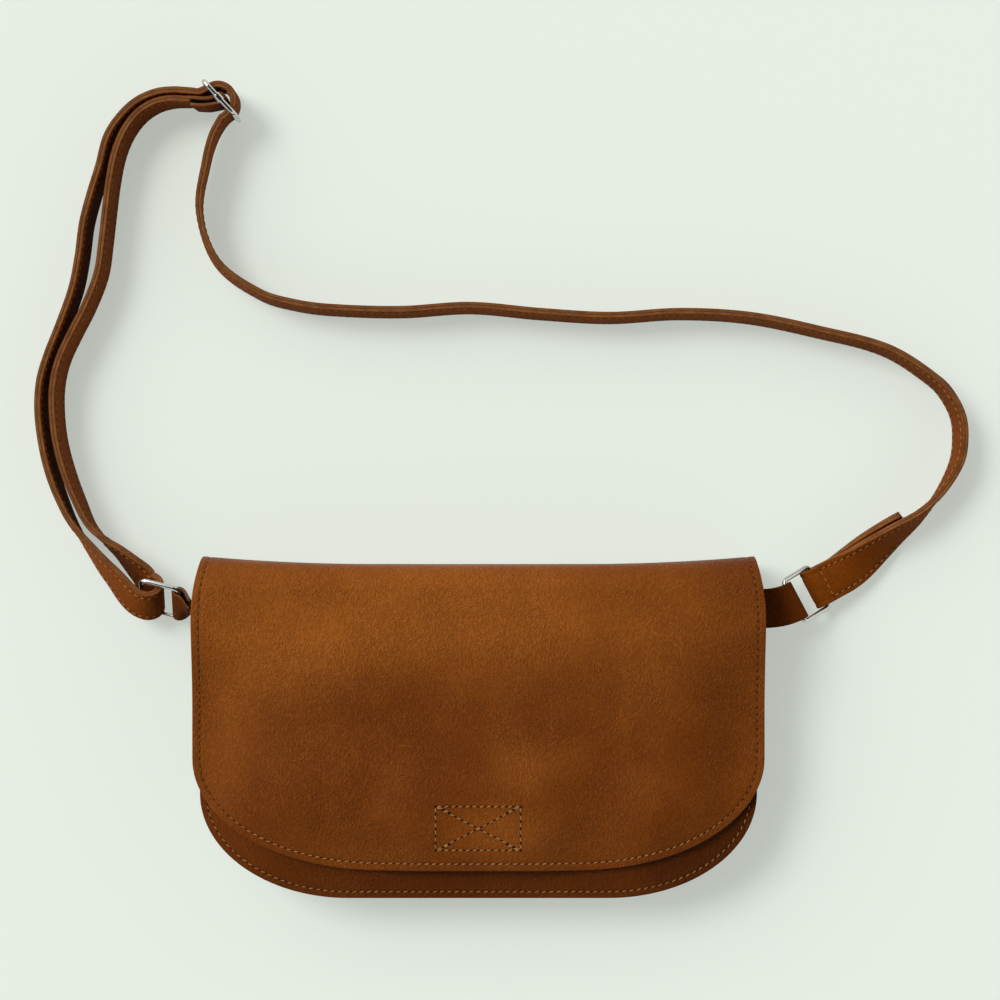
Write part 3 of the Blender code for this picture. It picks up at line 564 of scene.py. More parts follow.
def sew(bm, path, pitch=STITCH_PITCH, sunk=0):
    """A row of slanted stitches, sunk into the hide or not, with a dark spot of painted shade for the needle
    hole at each of their ends.
    """
    spots = even_places(path, pitch)
    for (start, normal), (end, end_normal) in zip(spots, spots[1:]):
        out = (normal + end_normal).normalized()
        along = (end - start).normalized()
        along = square_to(along + normal.cross(along) * STITCH_SLANT, out)
        length = (end - start).length * STITCH_SHARE
        centre = (start + end) / 2 + out * (THREAD_RADIUS / 2 - sunk)
        spindle(bm, centre, along, out, (length, THREAD_RADIUS, THREAD_RADIUS), 0)
    ends = [spots[0]] + spots + [spots[-1]]
    for (before, _), (place, normal), (after, _) in zip(ends, spots, ends[2:]):
        spindle(bm, place, square_to(after - before, normal), normal, HOLE_SIZE, 1)


def stitched(name, paths, surfaces, pitch=STITCH_PITCH, sunk=0):
    """A piece of thread, in rows of stitches along the given paths."""
    bm = bmesh.new()
    for path in paths:
        sew(bm, path, pitch, sunk)
    return made(name, bm, surfaces)


def thread(name, dark, light, painted_shade_beyond=None):
    """Waxed thread, its two plies fine slanting bands, with painted shade that darkens it along the flap's
    sides.
    """
    surface, shader, place = new_surface(name, 0.6, 0.08)
    tree = surface.node_tree
    inputs = {"Vector": place, "Scale": 900.0, "Distortion": 2.0, "Detail": 2.0}
    plies = node(tree, "ShaderNodeTexWave", inputs, bands_direction="DIAGONAL").outputs["Fac"]
    soiled = noise_at(place, 140.0, 2.0)["Fac"]
    tone = total(times(plies, 0.5), times(soiled, 0.6))
    colour = mixed(ranged(tone, 0.2, 0.85), (*dark, 1), (*light, 1))
    # Painted shade: the thread is darkened beyond a distance across, along the flap's two sides.
    if painted_shade_beyond:
        across = maths("ABSOLUTE", node(tree, "ShaderNodeSeparateXYZ", {0: place}).outputs["X"])
        side_shade_colour = [part * share for part, share in zip(dark, (0.55, 0.40, 0.22))]
        side_shade = times(ranged(across, *painted_shade_beyond), 0.8)
        colour = mixed(side_shade, colour, (*side_shade_colour, 1))
    tree.links.new(colour, shader.inputs["Base Color"])
    relief(shader, plies, 0.4, PLY_RELIEF)
    return surface


TAN_THREAD = thread("tan thread", (0.17, 0.066, 0.014), (0.42, 0.205, 0.068))
# Painted shade: a dark spot stands for the shade inside each needle hole.
NEEDLE_HOLE_SHADE = fibrous("needle hole", (0.010, 0.003, 0.001), (0.035, 0.012, 0.004), 1500.0, 200.0, 0.9)
SEWN = [TAN_THREAD, NEEDLE_HOLE_SHADE]


def on_surface(places, height_at, facing=1):
    """Places on a surface given by its height, with its normals on its upper side or, for -1, its lower."""
    path = []
    for x, y in places:
        here = height_at(x, y)
        slope_x = (height_at(x + PROBE, y) - here) / PROBE
        slope_y = (height_at(x, y + PROBE) - here) / PROBE
        path.append((Vector((x, y, here)), Vector((-slope_x, -slope_y, 1)).normalized() * facing))
    return path


pocket = hide_piece("pocket_split", pocket_mesh(), POCKET_GRAIN)
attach(pocket, "bag")
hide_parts("inner_pocket")

POCKET_THREAD_HEIGHT = HIDE + SEAM_GAP + POCKET_HIDE - GROOVE_DEPTH
pocket_line = on_surface(pocket_outline(POCKET_SEAM), lambda x, y: POCKET_THREAD_HEIGHT)
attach(stitched("pocket_thread", [pocket_line], SEWN), "bag")


# Front panel and its loop tape
# The front of the bag under the flap, of the same hide as the back, domed over what the bag holds; its colour
# is darkened with painted shade from the flap.
# The woven loop tape of the closure is sewn to its outside.
MOUTH_Y = BODY_TOP - 0.0088
SEAM_HEIGHT = 0.0345
DOME_RISE = 0.0090
DOME_REACH = 0.0500
DOME_FADE_FROM = 0.0100
DOME_FADE_TO = 0.0680
FRONT_SEAM = 0.0032
TAPE_HALF_LENGTH = 0.0250
TAPE_HALF_WIDTH = 0.0145
TAPE_Y = -0.0492
TAPE_HEIGHT = 0.0014
TAPE_SEAM = 0.0022
TAPE_ROWS = 15
TAPE_COLUMNS = 26
RIM_SHARE = 0.45
RIM_STEP = 0.0009
RIM_SEAM = 0.0012
RIM_PITCH = 0.0027
PILE_FROM = 0.6
PILE_ROUGHNESS = 0.12
PILE_TUFTS = 900
PILE_RELIEF = 0.0005
THIN_EDGE_ROUND = 0.0002
FRONT_SWELL = 0.00025
FRONT_CALM = 0.0200
SWELL_WAVES = ((0.045, 0.035, 1.7), (0.017, 0.014, 8.3))
SHORT_WAVE_SHARE = 0.3


def inside_distance(x, y):
    """How far a place lies inside the body's outline, its sides carried on upward."""
    across = abs(x) - (BODY_HALF - BODY_CORNER_WIDTH)
    below = CORNER_Y - y
    if across > 0 and below > 0:
        share = math.hypot(across / BODY_CORNER_WIDTH, below / BODY_CORNER_HEIGHT)
        return math.hypot(across, below) * (1 / share - 1)
    if below > 0:
        return BODY_CORNER_HEIGHT - below
    return BODY_CORNER_WIDTH - across


def front_height(x, y):
    """Height of the front panel's grain, domed over what the bag holds and level at its mouth."""
    hollow = 1 - ease(inside_distance(x, y) / DOME_REACH)
    fade = ease((DOME_FADE_TO - y) / (DOME_FADE_TO - DOME_FADE_FROM))
    return SEAM_HEIGHT + DOME_RISE * (1 - hollow * fade)


def swell(x, y, amount):
    """The hide's own unevenness, in long soft waves."""
    waves = [noise.noise(Vector((x / wide, y / high, seed))) for wide, high, seed in SWELL_WAVES]
    return amount * (waves[0] + SHORT_WAVE_SHARE * waves[1])


def front_mesh():
    rows = panel_rows(lambda inset: body_outline(side_steps(MOUTH_Y, CORNER_Y, SIDE_STEPS), inset))

    def grain_at(x, y):
        calm = ease(inside_distance(x, y) / FRONT_CALM)
        return front_height(x, y) + min(swell(x, y, FRONT_SWELL), 0) * calm

    def flesh_at(x, y):
        return front_height(x, y) - HIDE - SEAM_GAP / 2

    return hide_mesh([panel_grid(rows, FRONT_SEAM, grain_at, flesh_at)])


def tape_mesh(height_at, low_by, high_by, pattern):
    """A closure tape on a curved surface: its woven rim thin, its pile or hooks standing inside the rim."""
    grid = []
    for row in range(-TAPE_ROWS, TAPE_ROWS + 1):
        y = TAPE_Y - TAPE_HALF_WIDTH * row / TAPE_ROWS
        places = []
        for column in range(-TAPE_COLUMNS, TAPE_COLUMNS + 1):
            x = -TAPE_HALF_LENGTH * column / TAPE_COLUMNS
            from_edge = min(TAPE_HALF_LENGTH - abs(x), TAPE_HALF_WIDTH - abs(y - TAPE_Y))
            full = RIM_SHARE + (1 - RIM_SHARE) * ease((from_edge - TAPE_SEAM) / RIM_STEP)
            rough = PILE_ROUGHNESS * noise.noise(Vector((x, y, pattern)) * PILE_TUFTS) * (full > PILE_FROM)
            low = height_at(x, y) + low_by
            places.append((Vector((x, y, low + (high_by - low_by) * (full + rough))), Vector((x, y, low))))
        grid.append(places)
    return hide_mesh([grid], round_by=THIN_EDGE_ROUND)


def pile(name, dark, light, tufts, strength):
    """Looped or hooked nylon pile on a woven ground."""
    surface, shader, place = new_surface(name, 0.88, 0.2)
    loops = cells_at(place, tufts)
    loops.inputs["Randomness"].default_value = 0.7
    fuzz = noise_at(place, tufts * 2.2, 3.0, 0.7, 1.0)["Fac"]
    tone = maths("SUBTRACT", fuzz, times(loops.outputs["Distance"], 0.5))
    dye(shader, ranged(tone, 0.0, 0.6), dark, light)
    shader.inputs["Sheen Weight"].default_value = 0.4
    relief(shader, tone, strength, PILE_RELIEF)
    return surface


LOOP_PILE = pile("loop pile", (0.012, 0.005, 0.002), (0.06, 0.028, 0.013), 1500.0, 0.8)
# Painted light and shadow on the front panel: lighter at its left, and darker at its right where the flap
# casts its shadow.
FRONT_PAINTED_LIGHT_AND_SHADOW = (
    ((-0.128, -0.045, 0.035), (0.050, 0.055, 0.060), 0.34),
    ((0.122, -0.050, 0.035), (0.060, 0.064, 0.060), -0.50),
)
# The same hide as the back, but in darker colours: painted shade of the flap over it.
FRONT_SHADED_COLOURS = ((0.078, 0.0164, 0.0007), (0.200, 0.048, 0.0042))
FRONT_GRAIN = grain_leather("front panel grain with painted shade", *FRONT_SHADED_COLOURS, painted_light_and_shade=FRONT_PAINTED_LIGHT_AND_SHADOW)
front = hide_piece("front_hide", front_mesh(), FRONT_GRAIN)
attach(front, "bag")
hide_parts("front_panel")

loop_mesh = tape_mesh(front_height, -SEAM_GAP, SEAM_GAP + TAPE_HEIGHT, 3.1)
loop_tape = made("loop_tape_pile", loop_mesh, [LOOP_PILE] * 3)
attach(loop_tape, "bag")
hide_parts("loop_tape")

DARK_THREAD = thread("dark tape thread", (0.010, 0.006, 0.004), (0.045, 0.030, 0.022))


def straight(start, end, count=24):
    return [tuple(a + (b - a) * step / count for a, b in zip(start, end)) for step in range(count + 1)]


def box_corners(half_length, half_width, middle_y):
    return [(a * half_length, middle_y + b * half_width) for a, b in ((-1, 1), (1, 1), (1, -1), (-1, -1))]


def tape_row(name, height_at, rise, body):
    """The row that sews a tape down along its thin rim, which stands up or down from a surface."""
    corners = box_corners(TAPE_HALF_LENGTH - RIM_SEAM, TAPE_HALF_WIDTH - RIM_SEAM, TAPE_Y)
    paths = []
    for start, end in zip(corners, corners[1:] + corners[:1]):
        line = straight(start, end)
        paths.append(on_surface(line, lambda x, y: height_at(x, y) + rise, math.copysign(1, rise)))
    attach(stitched(name, paths, [DARK_THREAD, NEEDLE_HOLE_SHADE], RIM_PITCH), body)


tape_row("loop_tape_thread", front_height, TAPE_HEIGHT * RIM_SHARE, "bag")


# Gusset
# One strip of hide that joins front and back round the sides and the bottom, its edges turned outward.
# Both flanges are sewn under the panels' edges; each wall has a slit near the mouth for a ring's tab.
GUSSET_HIDE = 0.0016
SEAM_MARGIN = 0.0060
GUSSET_TURN = 0.0014
GUSSET_BOW = 0.0009
STRAP_WIDTH = 0.0200
TAB_HIDE = 0.0016
TAB_Y = 0.0603
TAB_HEIGHT = 0.0180
TAB_SLIT_PLAY = 0.0009
SLIT_REACH = STRAP_WIDTH / 2 + TAB_SLIT_PLAY / 2
SLIT_HALF = TAB_HIDE + SEAM_GAP / 2 + TAB_SLIT_PLAY / 2
GUSSET_TOP = MOUTH_Y - GUSSET_HIDE
FLANGE_INSETS = (SEAM_GAP, 0.0012, 0.0021, 0.0027, 0.0032, 0.0037)
TURN_STEPS = 5
SOFT_EDGE_ROUND = 0.0003
SEAM_BELOW_MOUTH = 0.0020


def gusset_path():
    """A flange and its turn as (grain inset, grain rise, flesh inset, flesh rise) from its panel."""
    near, wide = SEAM_MARGIN - GUSSET_TURN, GUSSET_TURN + GUSSET_HIDE
    rows = []
    for inset in (*FLANGE_INSETS, near):
        rows.append((inset, GUSSET_HIDE - groove(inset, FRONT_SEAM) / 2, inset, 0))
    for cos, sin in quarter_turn(TURN_STEPS):
        grain = (near + GUSSET_TURN * sin, GUSSET_HIDE + GUSSET_TURN * (1 - cos))
        rows.append((*grain, near + wide * sin, wide * (1 - cos)))
    return rows


def gusset_mesh():
    """The strip's grid: up the lower flange, the bowed wall and the upper flange."""
    sides = [GUSSET_TOP, TAB_Y + SLIT_REACH, TAB_Y - SLIT_REACH, CORNER_Y]
    heights = []
    for top, foot, count in zip(sides, sides[1:], (1, 6, 18)):
        heights += side_steps(top, foot, count)
    face = HIDE + SEAM_GAP / 2
    flange = gusset_path()
    low, high = face + flange[-1][1], SEAM_HEIGHT - HIDE - flange[-1][1]
    levels = [low, TAB_HEIGHT - SLIT_HALF, TAB_HEIGHT + SLIT_HALF, high]
    rows = [(False, *row) for row in flange]
    for start, end, count, used in zip(levels, levels[1:], (3, 2, 4), (3, 2, 3)):
        for step in range(1, used + 1):
            height = start + (end - start) * step / count
            bow = GUSSET_BOW * math.sin(math.pi * (height - low) / (high - low))
            rise = height - face
            rows.append((False, SEAM_MARGIN - bow, rise, SEAM_MARGIN + GUSSET_HIDE - bow, rise))
    rows += [(True, *row) for row in reversed(flange)]

    def placed(place, under_front, rise):
        from_front = front_height(*place) - HIDE - SEAM_GAP / 2 - rise
        return Vector((*place, from_front if under_front else face + rise))

    grid = []
    for under_front, grain_inset, grain_rise, flesh_inset, flesh_rise in rows:
        pairs = zip(body_outline(heights, grain_inset), body_outline(heights, flesh_inset))
        row = [(placed(a, under_front, grain_rise), placed(b, under_front, flesh_rise)) for a, b in pairs]
        grid.append(row)

    def in_slit(place):
        on_wall = abs(place.x) > BODY_HALF - 2 * SEAM_MARGIN
        return on_wall and abs(place.y - TAB_Y) < SLIT_REACH and abs(place.z - TAB_HEIGHT) < SLIT_HALF

    return hide_mesh([grid], cut_out=in_slit, round_by=SOFT_EDGE_ROUND)


GUSSET_GRAIN = grain_leather("gusset grain", (0.066, 0.0140, 0.0014), (0.125, 0.030, 0.0040))
gusset = hide_piece("gusset_strip", gusset_mesh(), GUSSET_GRAIN)
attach(gusset, "bag")
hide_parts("gusset")

SEAM_LINE = body_outline(side_steps(MOUTH_Y - SEAM_BELOW_MOUTH, CORNER_Y, SIDE_STEPS), FRONT_SEAM)


def seam_row(name, height_at, facing, sunk=0):
    """One face's stitches of the seams that hold the gusset between front and back."""
    path = on_surface(SEAM_LINE, height_at, facing)
    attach(stitched(name, [path], SEWN, sunk=sunk), "bag")


BACK_FACE = HIDE + SEAM_GAP / 2 + GUSSET_HIDE
seam_row("front_thread", lambda x, y: front_height(x, y) - GROOVE_DEPTH, 1)
seam_row("front_flange_thread", lambda x, y: front_height(x, y) - BACK_FACE + GROOVE_DEPTH / 2, -1)
seam_row("back_flange_thread", lambda x, y: BACK_FACE - GROOVE_DEPTH / 2, 1)
seam_row("back_thread", lambda x, y: GROOVE_DEPTH, -1, THREAD_RADIUS * 1.5 - GROOVE_DEPTH)


# Rings
# Two rings of nickel-plated wire, 2.6 mm thick, bent to rounded rectangles and welded shut.
# Each turns on the bar that its tab holds.
WIRE_RADIUS = 0.0013
RING_REACH = 0.0200
RING_CORNER = 0.0028
RING_SIDE_PLAY = 0.0009
RING_HALF_BAR = (STRAP_WIDTH + RING_SIDE_PLAY) / 2 + WIRE_RADIUS
WIRE_SIDES = 20
WIRE_END_ROUND = 0.3
RUB_RELIEF = 0.0002
ARC_STEPS = 10
RIGHT_TAB_BAR = Vector((0.1615, 0.0638, 0.0180))
LEFT_TAB_BAR = Vector((-0.1537, 0.0628, 0.0180))
RIGHT_RING_HEADING = math.radians(27.8)
LEFT_RING_HEADING = math.radians(166.1)
LEFT_RING_DROP = math.radians(7.0)
LEFT_BAR_SLANT = math.radians(50.0)
STRAP_LAYER = 0.0016
STRAP_HALF = STRAP_LAYER + SEAM_GAP / 2
WIRE_CLEARANCE = 0.0003
STRAP_GROUND_GAP = 0.0002
LAP_LOOP_PLAY = 0.0010
LAP_LOOP_RADIUS = WIRE_RADIUS + WIRE_CLEARANCE + STRAP_HALF + LAP_LOOP_PLAY


def heading_vector(heading, slope=0):
    level = math.cos(slope)
    return Vector((math.cos(heading) * level, math.sin(heading) * level, math.sin(slope)))


RIGHT_BAR = heading_vector(RIGHT_RING_HEADING + math.pi / 2)
RIGHT_DROP = math.asin((TAB_HEIGHT - LAP_LOOP_RADIUS - STRAP_HALF - STRAP_GROUND_GAP) / RING_REACH)
RIGHT_REACH = heading_vector(RIGHT_RING_HEADING, -RIGHT_DROP)
RIGHT_STRAP_BAR = RIGHT_TAB_BAR + RING_REACH * RIGHT_REACH
LEFT_REACH = heading_vector(LEFT_RING_HEADING, -LEFT_RING_DROP)
LEFT_BAR = square_to(heading_vector(LEFT_RING_HEADING - math.pi / 2, LEFT_BAR_SLANT), LEFT_REACH)
LEFT_STRAP_BAR = LEFT_TAB_BAR + RING_REACH * LEFT_REACH


def rounded_rectangle(half_a, half_b, corner):
    """Places round a rectangle with rounded corners."""
    places = []
    for turn, (side_a, side_b) in enumerate(((1, 1), (-1, 1), (-1, -1), (1, -1))):
        for step in range(ARC_STEPS + 1):
            angle = math.pi / 2 * (turn + step / ARC_STEPS)
            a = side_a * (half_a - corner) + corner * math.cos(angle)
            b = side_b * (half_b - corner) + corner * math.sin(angle)
            places.append((a, b))
    return places


def add_wire(bm, path, flat, radius, closed=False):
    """Add a round wire along points in a plane, joined to itself or with eased ends."""
    wire = bmesh.new()
    rings = []
    for step, point in enumerate(path):
        before = path[step - 1] if closed or step else point
        after = path[(step + 1) % len(path)] if closed or step < len(path) - 1 else point
        along = (after - before).normalized()
        turned = Matrix((along.cross(flat).normalized(), flat, along)).transposed().to_4x4()
        place = Matrix.Translation(point) @ turned
        section = bmesh.ops.create_circle(wire, segments=WIRE_SIDES, radius=radius, matrix=place)["verts"]
        ring = []
        for vert in section:
            ring += [edge for edge in vert.link_edges if edge not in ring]
        rings.append(ring)
    for ring, other in zip(rings, rings[1:] + rings[:1] if closed else rings[1:]):
        bmesh.ops.bridge_loops(wire, edges=ring + other)
    if not closed:
        for end in (rings[0], rings[-1]):
            cap = bmesh.ops.edgeloop_fill(wire, edges=end)["faces"]
            round_edges(wire, cap[0].edges[:], radius * WIRE_END_ROUND)
    face_outward(wire)
    bm.from_mesh(mesh_of("wire", wire))


def plated(name):
    """Nickel plate: bright, with faint wear rubs and a soft cloud in its polish."""
    surface, shader, place = new_surface(name, 0.12, 0.5)
    rubs = noise_at(place, 420.0, 4.0, 0.65, 0.4)["Fac"]
    dye(shader, noise_at(place, 90.0)["Fac"], (0.50, 0.49, 0.48), (0.74, 0.73, 0.71))
    surface.node_tree.links.new(ranged(rubs, 0.4, 0.8, 0.07, 0.26), shader.inputs["Roughness"])
    shader.inputs["Metallic"].default_value = 1.0
    relief(shader, rubs, 0.04, RUB_RELIEF)
    return surface


NICKEL = plated("nickel plate")


def ring(name, node_name, tab_bar, bar, reach):
    path = []
    for a, b in rounded_rectangle(RING_REACH / 2, RING_HALF_BAR, RING_CORNER):
        path.append(tab_bar + reach * (RING_REACH / 2 + a) + bar * b)
    bm = bmesh.new()
    add_wire(bm, path, reach.cross(bar).normalized(), WIRE_RADIUS, closed=True)
    piece = made(name, bm, [NICKEL])
    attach(piece, node_name)
    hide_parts(node_name)


ring("ring_left_wire", "ring_left", LEFT_TAB_BAR, LEFT_BAR, LEFT_REACH)
ring("ring_right_wire", "ring_right", RIGHT_TAB_BAR, RIGHT_BAR, RIGHT_REACH)


# Ring tabs
# A short strip of strap hide doubled round each ring's bar and passed through the gusset's slit.
# Inside the bag its two ends spread into a foot that is sewn to the wall.
TAB_FOOT = 0.0075
TAB_BEND = 0.0014
TAB_LOOP_RADIUS = WIRE_RADIUS + 2 * WIRE_CLEARANCE + TAB_HIDE / 2
TAB_STEPS = 18
LOOK_AHEAD = 0.01
STRIP_EDGES = ((0, 0.0005), (0.00008, 0.0002), (0.00025, 0.00006), (0.00055, 0), (0.0013, 0))
FLESH_EASE = 0.44
SEAM_COLUMNS = (-0.0006, -0.0003, 0, 0.0003, 0.0006)
FLAT_COLUMNS = (0.0045, 0.0070)
STRAP_GROOVE = 0.8


def hermite(start, start_way, end, end_way, share):
    """A place on the smooth curve between two places with given ways through them."""
    a = 2 * share**3 - 3 * share**2 + 1
    b = share**3 - 2 * share**2 + share
    c = share**3 - share**2
    return start * a + start_way * b + end * (1 - a) + end_way * c


def strip_profile(low, high, seam_at=0):
    """Columns across a strip as (across, flesh height, grain height), edges eased and seams pulled in."""
    half = [(inset, low + sunk * FLESH_EASE, high - sunk) for inset, sunk in STRIP_EDGES]
    if seam_at:
        for offset in SEAM_COLUMNS:
            half.append((seam_at + offset, low, high - groove(seam_at + offset, seam_at) * STRAP_GROOVE))
    half += [(inset, low, high) for inset in FLAT_COLUMNS]
    columns = [(STRAP_WIDTH / 2 - inset, flesh, grain) for inset, flesh, grain in half]
    mirrored = [(-across, flesh, grain) for across, flesh, grain in reversed(columns)]
    return columns + [(0, low, high)] + mirrored


def strip_mesh(stations, profile):
    """A strip of hide along stations of a point, its width's direction and its normal."""
    grid = []
    for point, across, normal in stations:
        row = []
        for from_middle, flesh, grain in profile:
            place = point + across * from_middle
            row.append((place + normal * grain, place + normal * flesh))
        grid.append(row)
    return hide_mesh([grid], round_by=0)


def arc_stations(centre, radius, first_way, square_way, across, steps, facing=1, first=0, last=math.pi):
    """Stations round an arc about a centre, from an angle to another, counted from the first way."""
    stations = []
    for step in range(steps + 1):
        angle = first + (last - first) * step / steps
        out = first_way * math.cos(angle) + square_way * math.sin(angle)
        stations.append((centre + out * radius, across, out * facing))
    return stations


def tab_stations(side, bar_centre, bar, reach):
    """Stations of a tab from one half of its foot round the bar to the other half."""
    flat_half = (TAB_HIDE + SEAM_GAP) / 2
    outward = Vector((side, 0, 0))
    across = Vector((0, side, 0))
    foot_face = BODY_HALF - SEAM_MARGIN - GUSSET_HIDE - SEAM_GAP - TAB_HIDE / 2
    bend = Vector((side * (foot_face + TAB_BEND), TAB_Y, TAB_HEIGHT + flat_half + TAB_BEND))
    leaving = Vector((side * (BODY_HALF - SEAM_MARGIN + SEAM_GAP), TAB_Y, TAB_HEIGHT))
    length = (bar_centre - leaving).length
    ends = (leaving, outward * length, bar_centre, reach * length)
    half = [(bend - outward * TAB_BEND + UP * TAB_FOOT, across, -outward)]
    half += arc_stations(bend, TAB_BEND, -outward, -UP, across, ARC_STEPS, last=math.pi / 2)
    leaves = [[], []]
    for step in range(TAB_STEPS + 1):
        share = step / TAB_STEPS
        point = hermite(*ends, share)
        along = (hermite(*ends, share + LOOK_AHEAD) - point).normalized()
        width_way = square_to(across.slerp(bar, ease(share)), along) if step < TAB_STEPS else bar
        normal = along.cross(width_way).normalized()
        if normal.dot(UP) < 0:
            normal = -normal
        spread = flat_half + (TAB_LOOP_RADIUS - flat_half) * ease(share)
        leaves[0].append((point + normal * spread, width_way, -normal))
        leaves[1].append((point - normal * spread, width_way, normal))
    end_normal = -leaves[0][-1][2]
    arc = arc_stations(bar_centre, TAB_LOOP_RADIUS, end_normal, square_to(reach, bar), bar, TAB_STEPS, -1)
    mirrored = []
    for point, width_way, normal in half:
        flipped = Vector((point.x, point.y, 2 * TAB_HEIGHT - point.z))
        mirrored.append((flipped, width_way, Vector((normal.x, normal.y, -normal.z))))
    return half + leaves[0] + arc[1:-1] + leaves[1][::-1] + mirrored[::-1]


TAB_SHADES = ((0.085, 0.0170, 0.0010), (0.210, 0.052, 0.0055))
TAB_GRAIN = grain_leather("tab grain", *TAB_SHADES, 1150.0, 0.8, 0.60, 0.03)


def tab(name, node_name, side, bar_centre, bar, reach):
    stations = tab_stations(side, bar_centre, bar, reach)
    stations = [(point, across, -normal) for point, across, normal in stations]
    profile = strip_profile(-TAB_HIDE / 2, TAB_HIDE / 2)
    piece = hide_piece(name, strip_mesh(stations, profile), TAB_GRAIN)
    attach(piece, "bag")
    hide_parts(node_name)


tab("tab_left_hide", "tab_left", -1, LEFT_TAB_BAR, LEFT_BAR, LEFT_REACH)
tab("tab_right_hide", "tab_right", 1, RIGHT_TAB_BAR, RIGHT_BAR, heading_vector(RIGHT_RING_HEADING))


# Flap lining and hook tape
# A layer of matt split leather under the flap, cut flush with it and sewn along its edge.
# The closure's hook tape is sewn through both, which is what the boxed cross on the flap is for.
LINING_HIDE = 0.0010
FLAP_CLEARANCE = 0.0006
FLAP_HALF = 0.1445
FLAP_BOTTOM = -0.0707
FLAP_CORNER_WIDTH = 0.0950
FLAP_CORNER_HEIGHT = 0.0560
FLAP_TAPER = 0.0042
FLAP_TAPER_LENGTH = 0.0380
CREASE_Y = BODY_TOP - 0.0128
TAPE_BULGE_REACH = 0.0320
TAPES_RISE = 2 * TAPE_HEIGHT + 3 * SEAM_GAP - FLAP_CLEARANCE
FLAP_SEAM = 0.0038


def flap_narrowing(y):
    """How far the flap's side draws in toward the fold."""
    return FLAP_TAPER * max((y - BODY_TOP) / FLAP_TAPER_LENGTH + 1, 0) ** 3


def lining_height(x, y):
    """Height of the flap lining's inner face, which bulges over the closure's tapes."""
    across = max(abs(x) - TAPE_HALF_LENGTH - LINING_HIDE, 0)
    along = max(abs(y - TAPE_Y) - TAPE_HALF_WIDTH - LINING_HIDE, 0)
    bulge = 1 - ease(math.hypot(across, along) / TAPE_BULGE_REACH)
    return front_height(x, y) + FLAP_CLEARANCE + TAPES_RISE * bulge


def flap_outline(inset):
    heights = side_steps(CREASE_Y, FLAP_BOTTOM + FLAP_CORNER_HEIGHT, SIDE_STEPS)
    corner = (FLAP_CORNER_WIDTH - inset, FLAP_CORNER_HEIGHT - inset)
    return u_outline(FLAP_HALF - inset, heights, FLAP_BOTTOM + inset, *corner, flap_narrowing)


def lining_mesh():
    rows = panel_rows(lambda inset: flap_outline(inset + SEAM_GAP))
    thick = LINING_HIDE + SEAM_GAP / 2
    grid = panel_grid(rows, None, lining_height, lambda x, y: lining_height(x, y) + thick)
    return hide_mesh([grid], round_by=SOFT_EDGE_ROUND)


def flap_crease(piece):
    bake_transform(piece)


LINING_GRAIN = grain_leather("lining split leather", SPLIT_DARK, SPLIT_LIGHT, 1000.0, 0.45, 0.66, 0.12)
lining = hide_piece("lining_split", lining_mesh(), LINING_GRAIN)
flap_crease(lining)
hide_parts("flap_lining")

HOOKS = pile("hook pile", (0.010, 0.004, 0.002), (0.05, 0.024, 0.011), 1250.0, 0.9)
hook_mesh = tape_mesh(lining_height, SEAM_GAP, -SEAM_GAP - TAPE_HEIGHT, 5.7)
hook_tape = made("hook_tape_hooks", hook_mesh, [HOOKS] * 3)
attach(hook_tape, "flap")
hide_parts("hook_tape")
tape_row("hook_tape_thread", lining_height, -TAPE_HEIGHT * RIM_SHARE, "flap")

lining_line = on_surface(flap_outline(FLAP_SEAM), lining_height, -1)
flap_crease(stitched("lining_thread", [lining_line], SEWN, sunk=THREAD_RADIUS / 2))


# Fold and flap
# The same long hide, going on up behind the bag, over its top in a soft roll and down over the front.
# Its edge is sewn to the lining all round, and a boxed cross holds the tape behind it.
FLAP_RISE = LINING_HIDE + SEAM_GAP
FLAP_SWELL = 0.00035
FLAP_CALM = 0.0120
FOLD_RISE = 0.0130
FOLD_WALL_STEPS = 5
ROLL_STEPS = 18
SEWN_FROM_STEP = 4
BOX_HALF_LENGTH = 0.0213
BOX_HALF_WIDTH = 0.0112
BOX_Y = TAPE_Y + 0.0007
BOX_PITCH = 0.0036
TACK_SHIFT = 0.0013
TACK_SHARE = 0.13
TACK_PITCH = 0.0026


def flap_grain_height(x, y):
    edge = min(FLAP_HALF - abs(x), y - FLAP_BOTTOM)
    calm = ease((CREASE_Y - y) / FLAP_CALM) * ease(edge / FLAP_CALM)
    return lining_height(x, y) + FLAP_RISE + HIDE + swell(x, y, FLAP_SWELL) * calm


def fold_half_width(y, z):
    return FLAP_HALF - flap_narrowing(min(y, BODY_TOP))


def fold_path():
    """The fold's middle line as (y, z), up the wall and over to the flap's crease."""
    top = FOLD_TOP - HIDE / 2
    wall_top = top - FOLD_RISE
    start = JOIN_HEIGHT + JOIN_STEP
    path = [(FOOT_Y, JOIN_HEIGHT - JOIN_STEP), (FOOT_Y, JOIN_HEIGHT)]
    for step in range(FOLD_WALL_STEPS + 1):
        path.append((FOOT_Y, start + (wall_top - start) * step / FOLD_WALL_STEPS))
    for cos, sin in quarter_turn(ROLL_STEPS):
        path.append((CREASE_Y + (FOOT_Y - CREASE_Y) * cos, wall_top + FOLD_RISE * sin))
    return path + [(CREASE_Y - JOIN_STEP / 2, top)]


def flap_mesh():
    def flesh_at(x, y):
        return lining_height(x, y) + FLAP_RISE - SEAM_GAP / 4

    rows = panel_rows(flap_outline)
    flat = panel_grid(rows, FLAP_SEAM, flap_grain_height, flesh_at)
    path = fold_path()
    columns = top_columns(rows, FLAP_HALF - flap_narrowing(CREASE_Y))
    fold = along_path(path, columns, fold_half_width, FLAP_SEAM, len(path) - 2)
    fold[-1] = [(grain, flesh - UP * SEAM_GAP / 4) for grain, flesh in fold[-1]]
    return hide_mesh([flat, fold], whole_at=lambda place: place.z < JOIN_HEIGHT + SEAM_GAP)


flap = hide_piece("flap_hide", flap_mesh(), LONG_HIDE_GRAIN)
flap_crease(flap)
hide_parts("flap", "top_band")


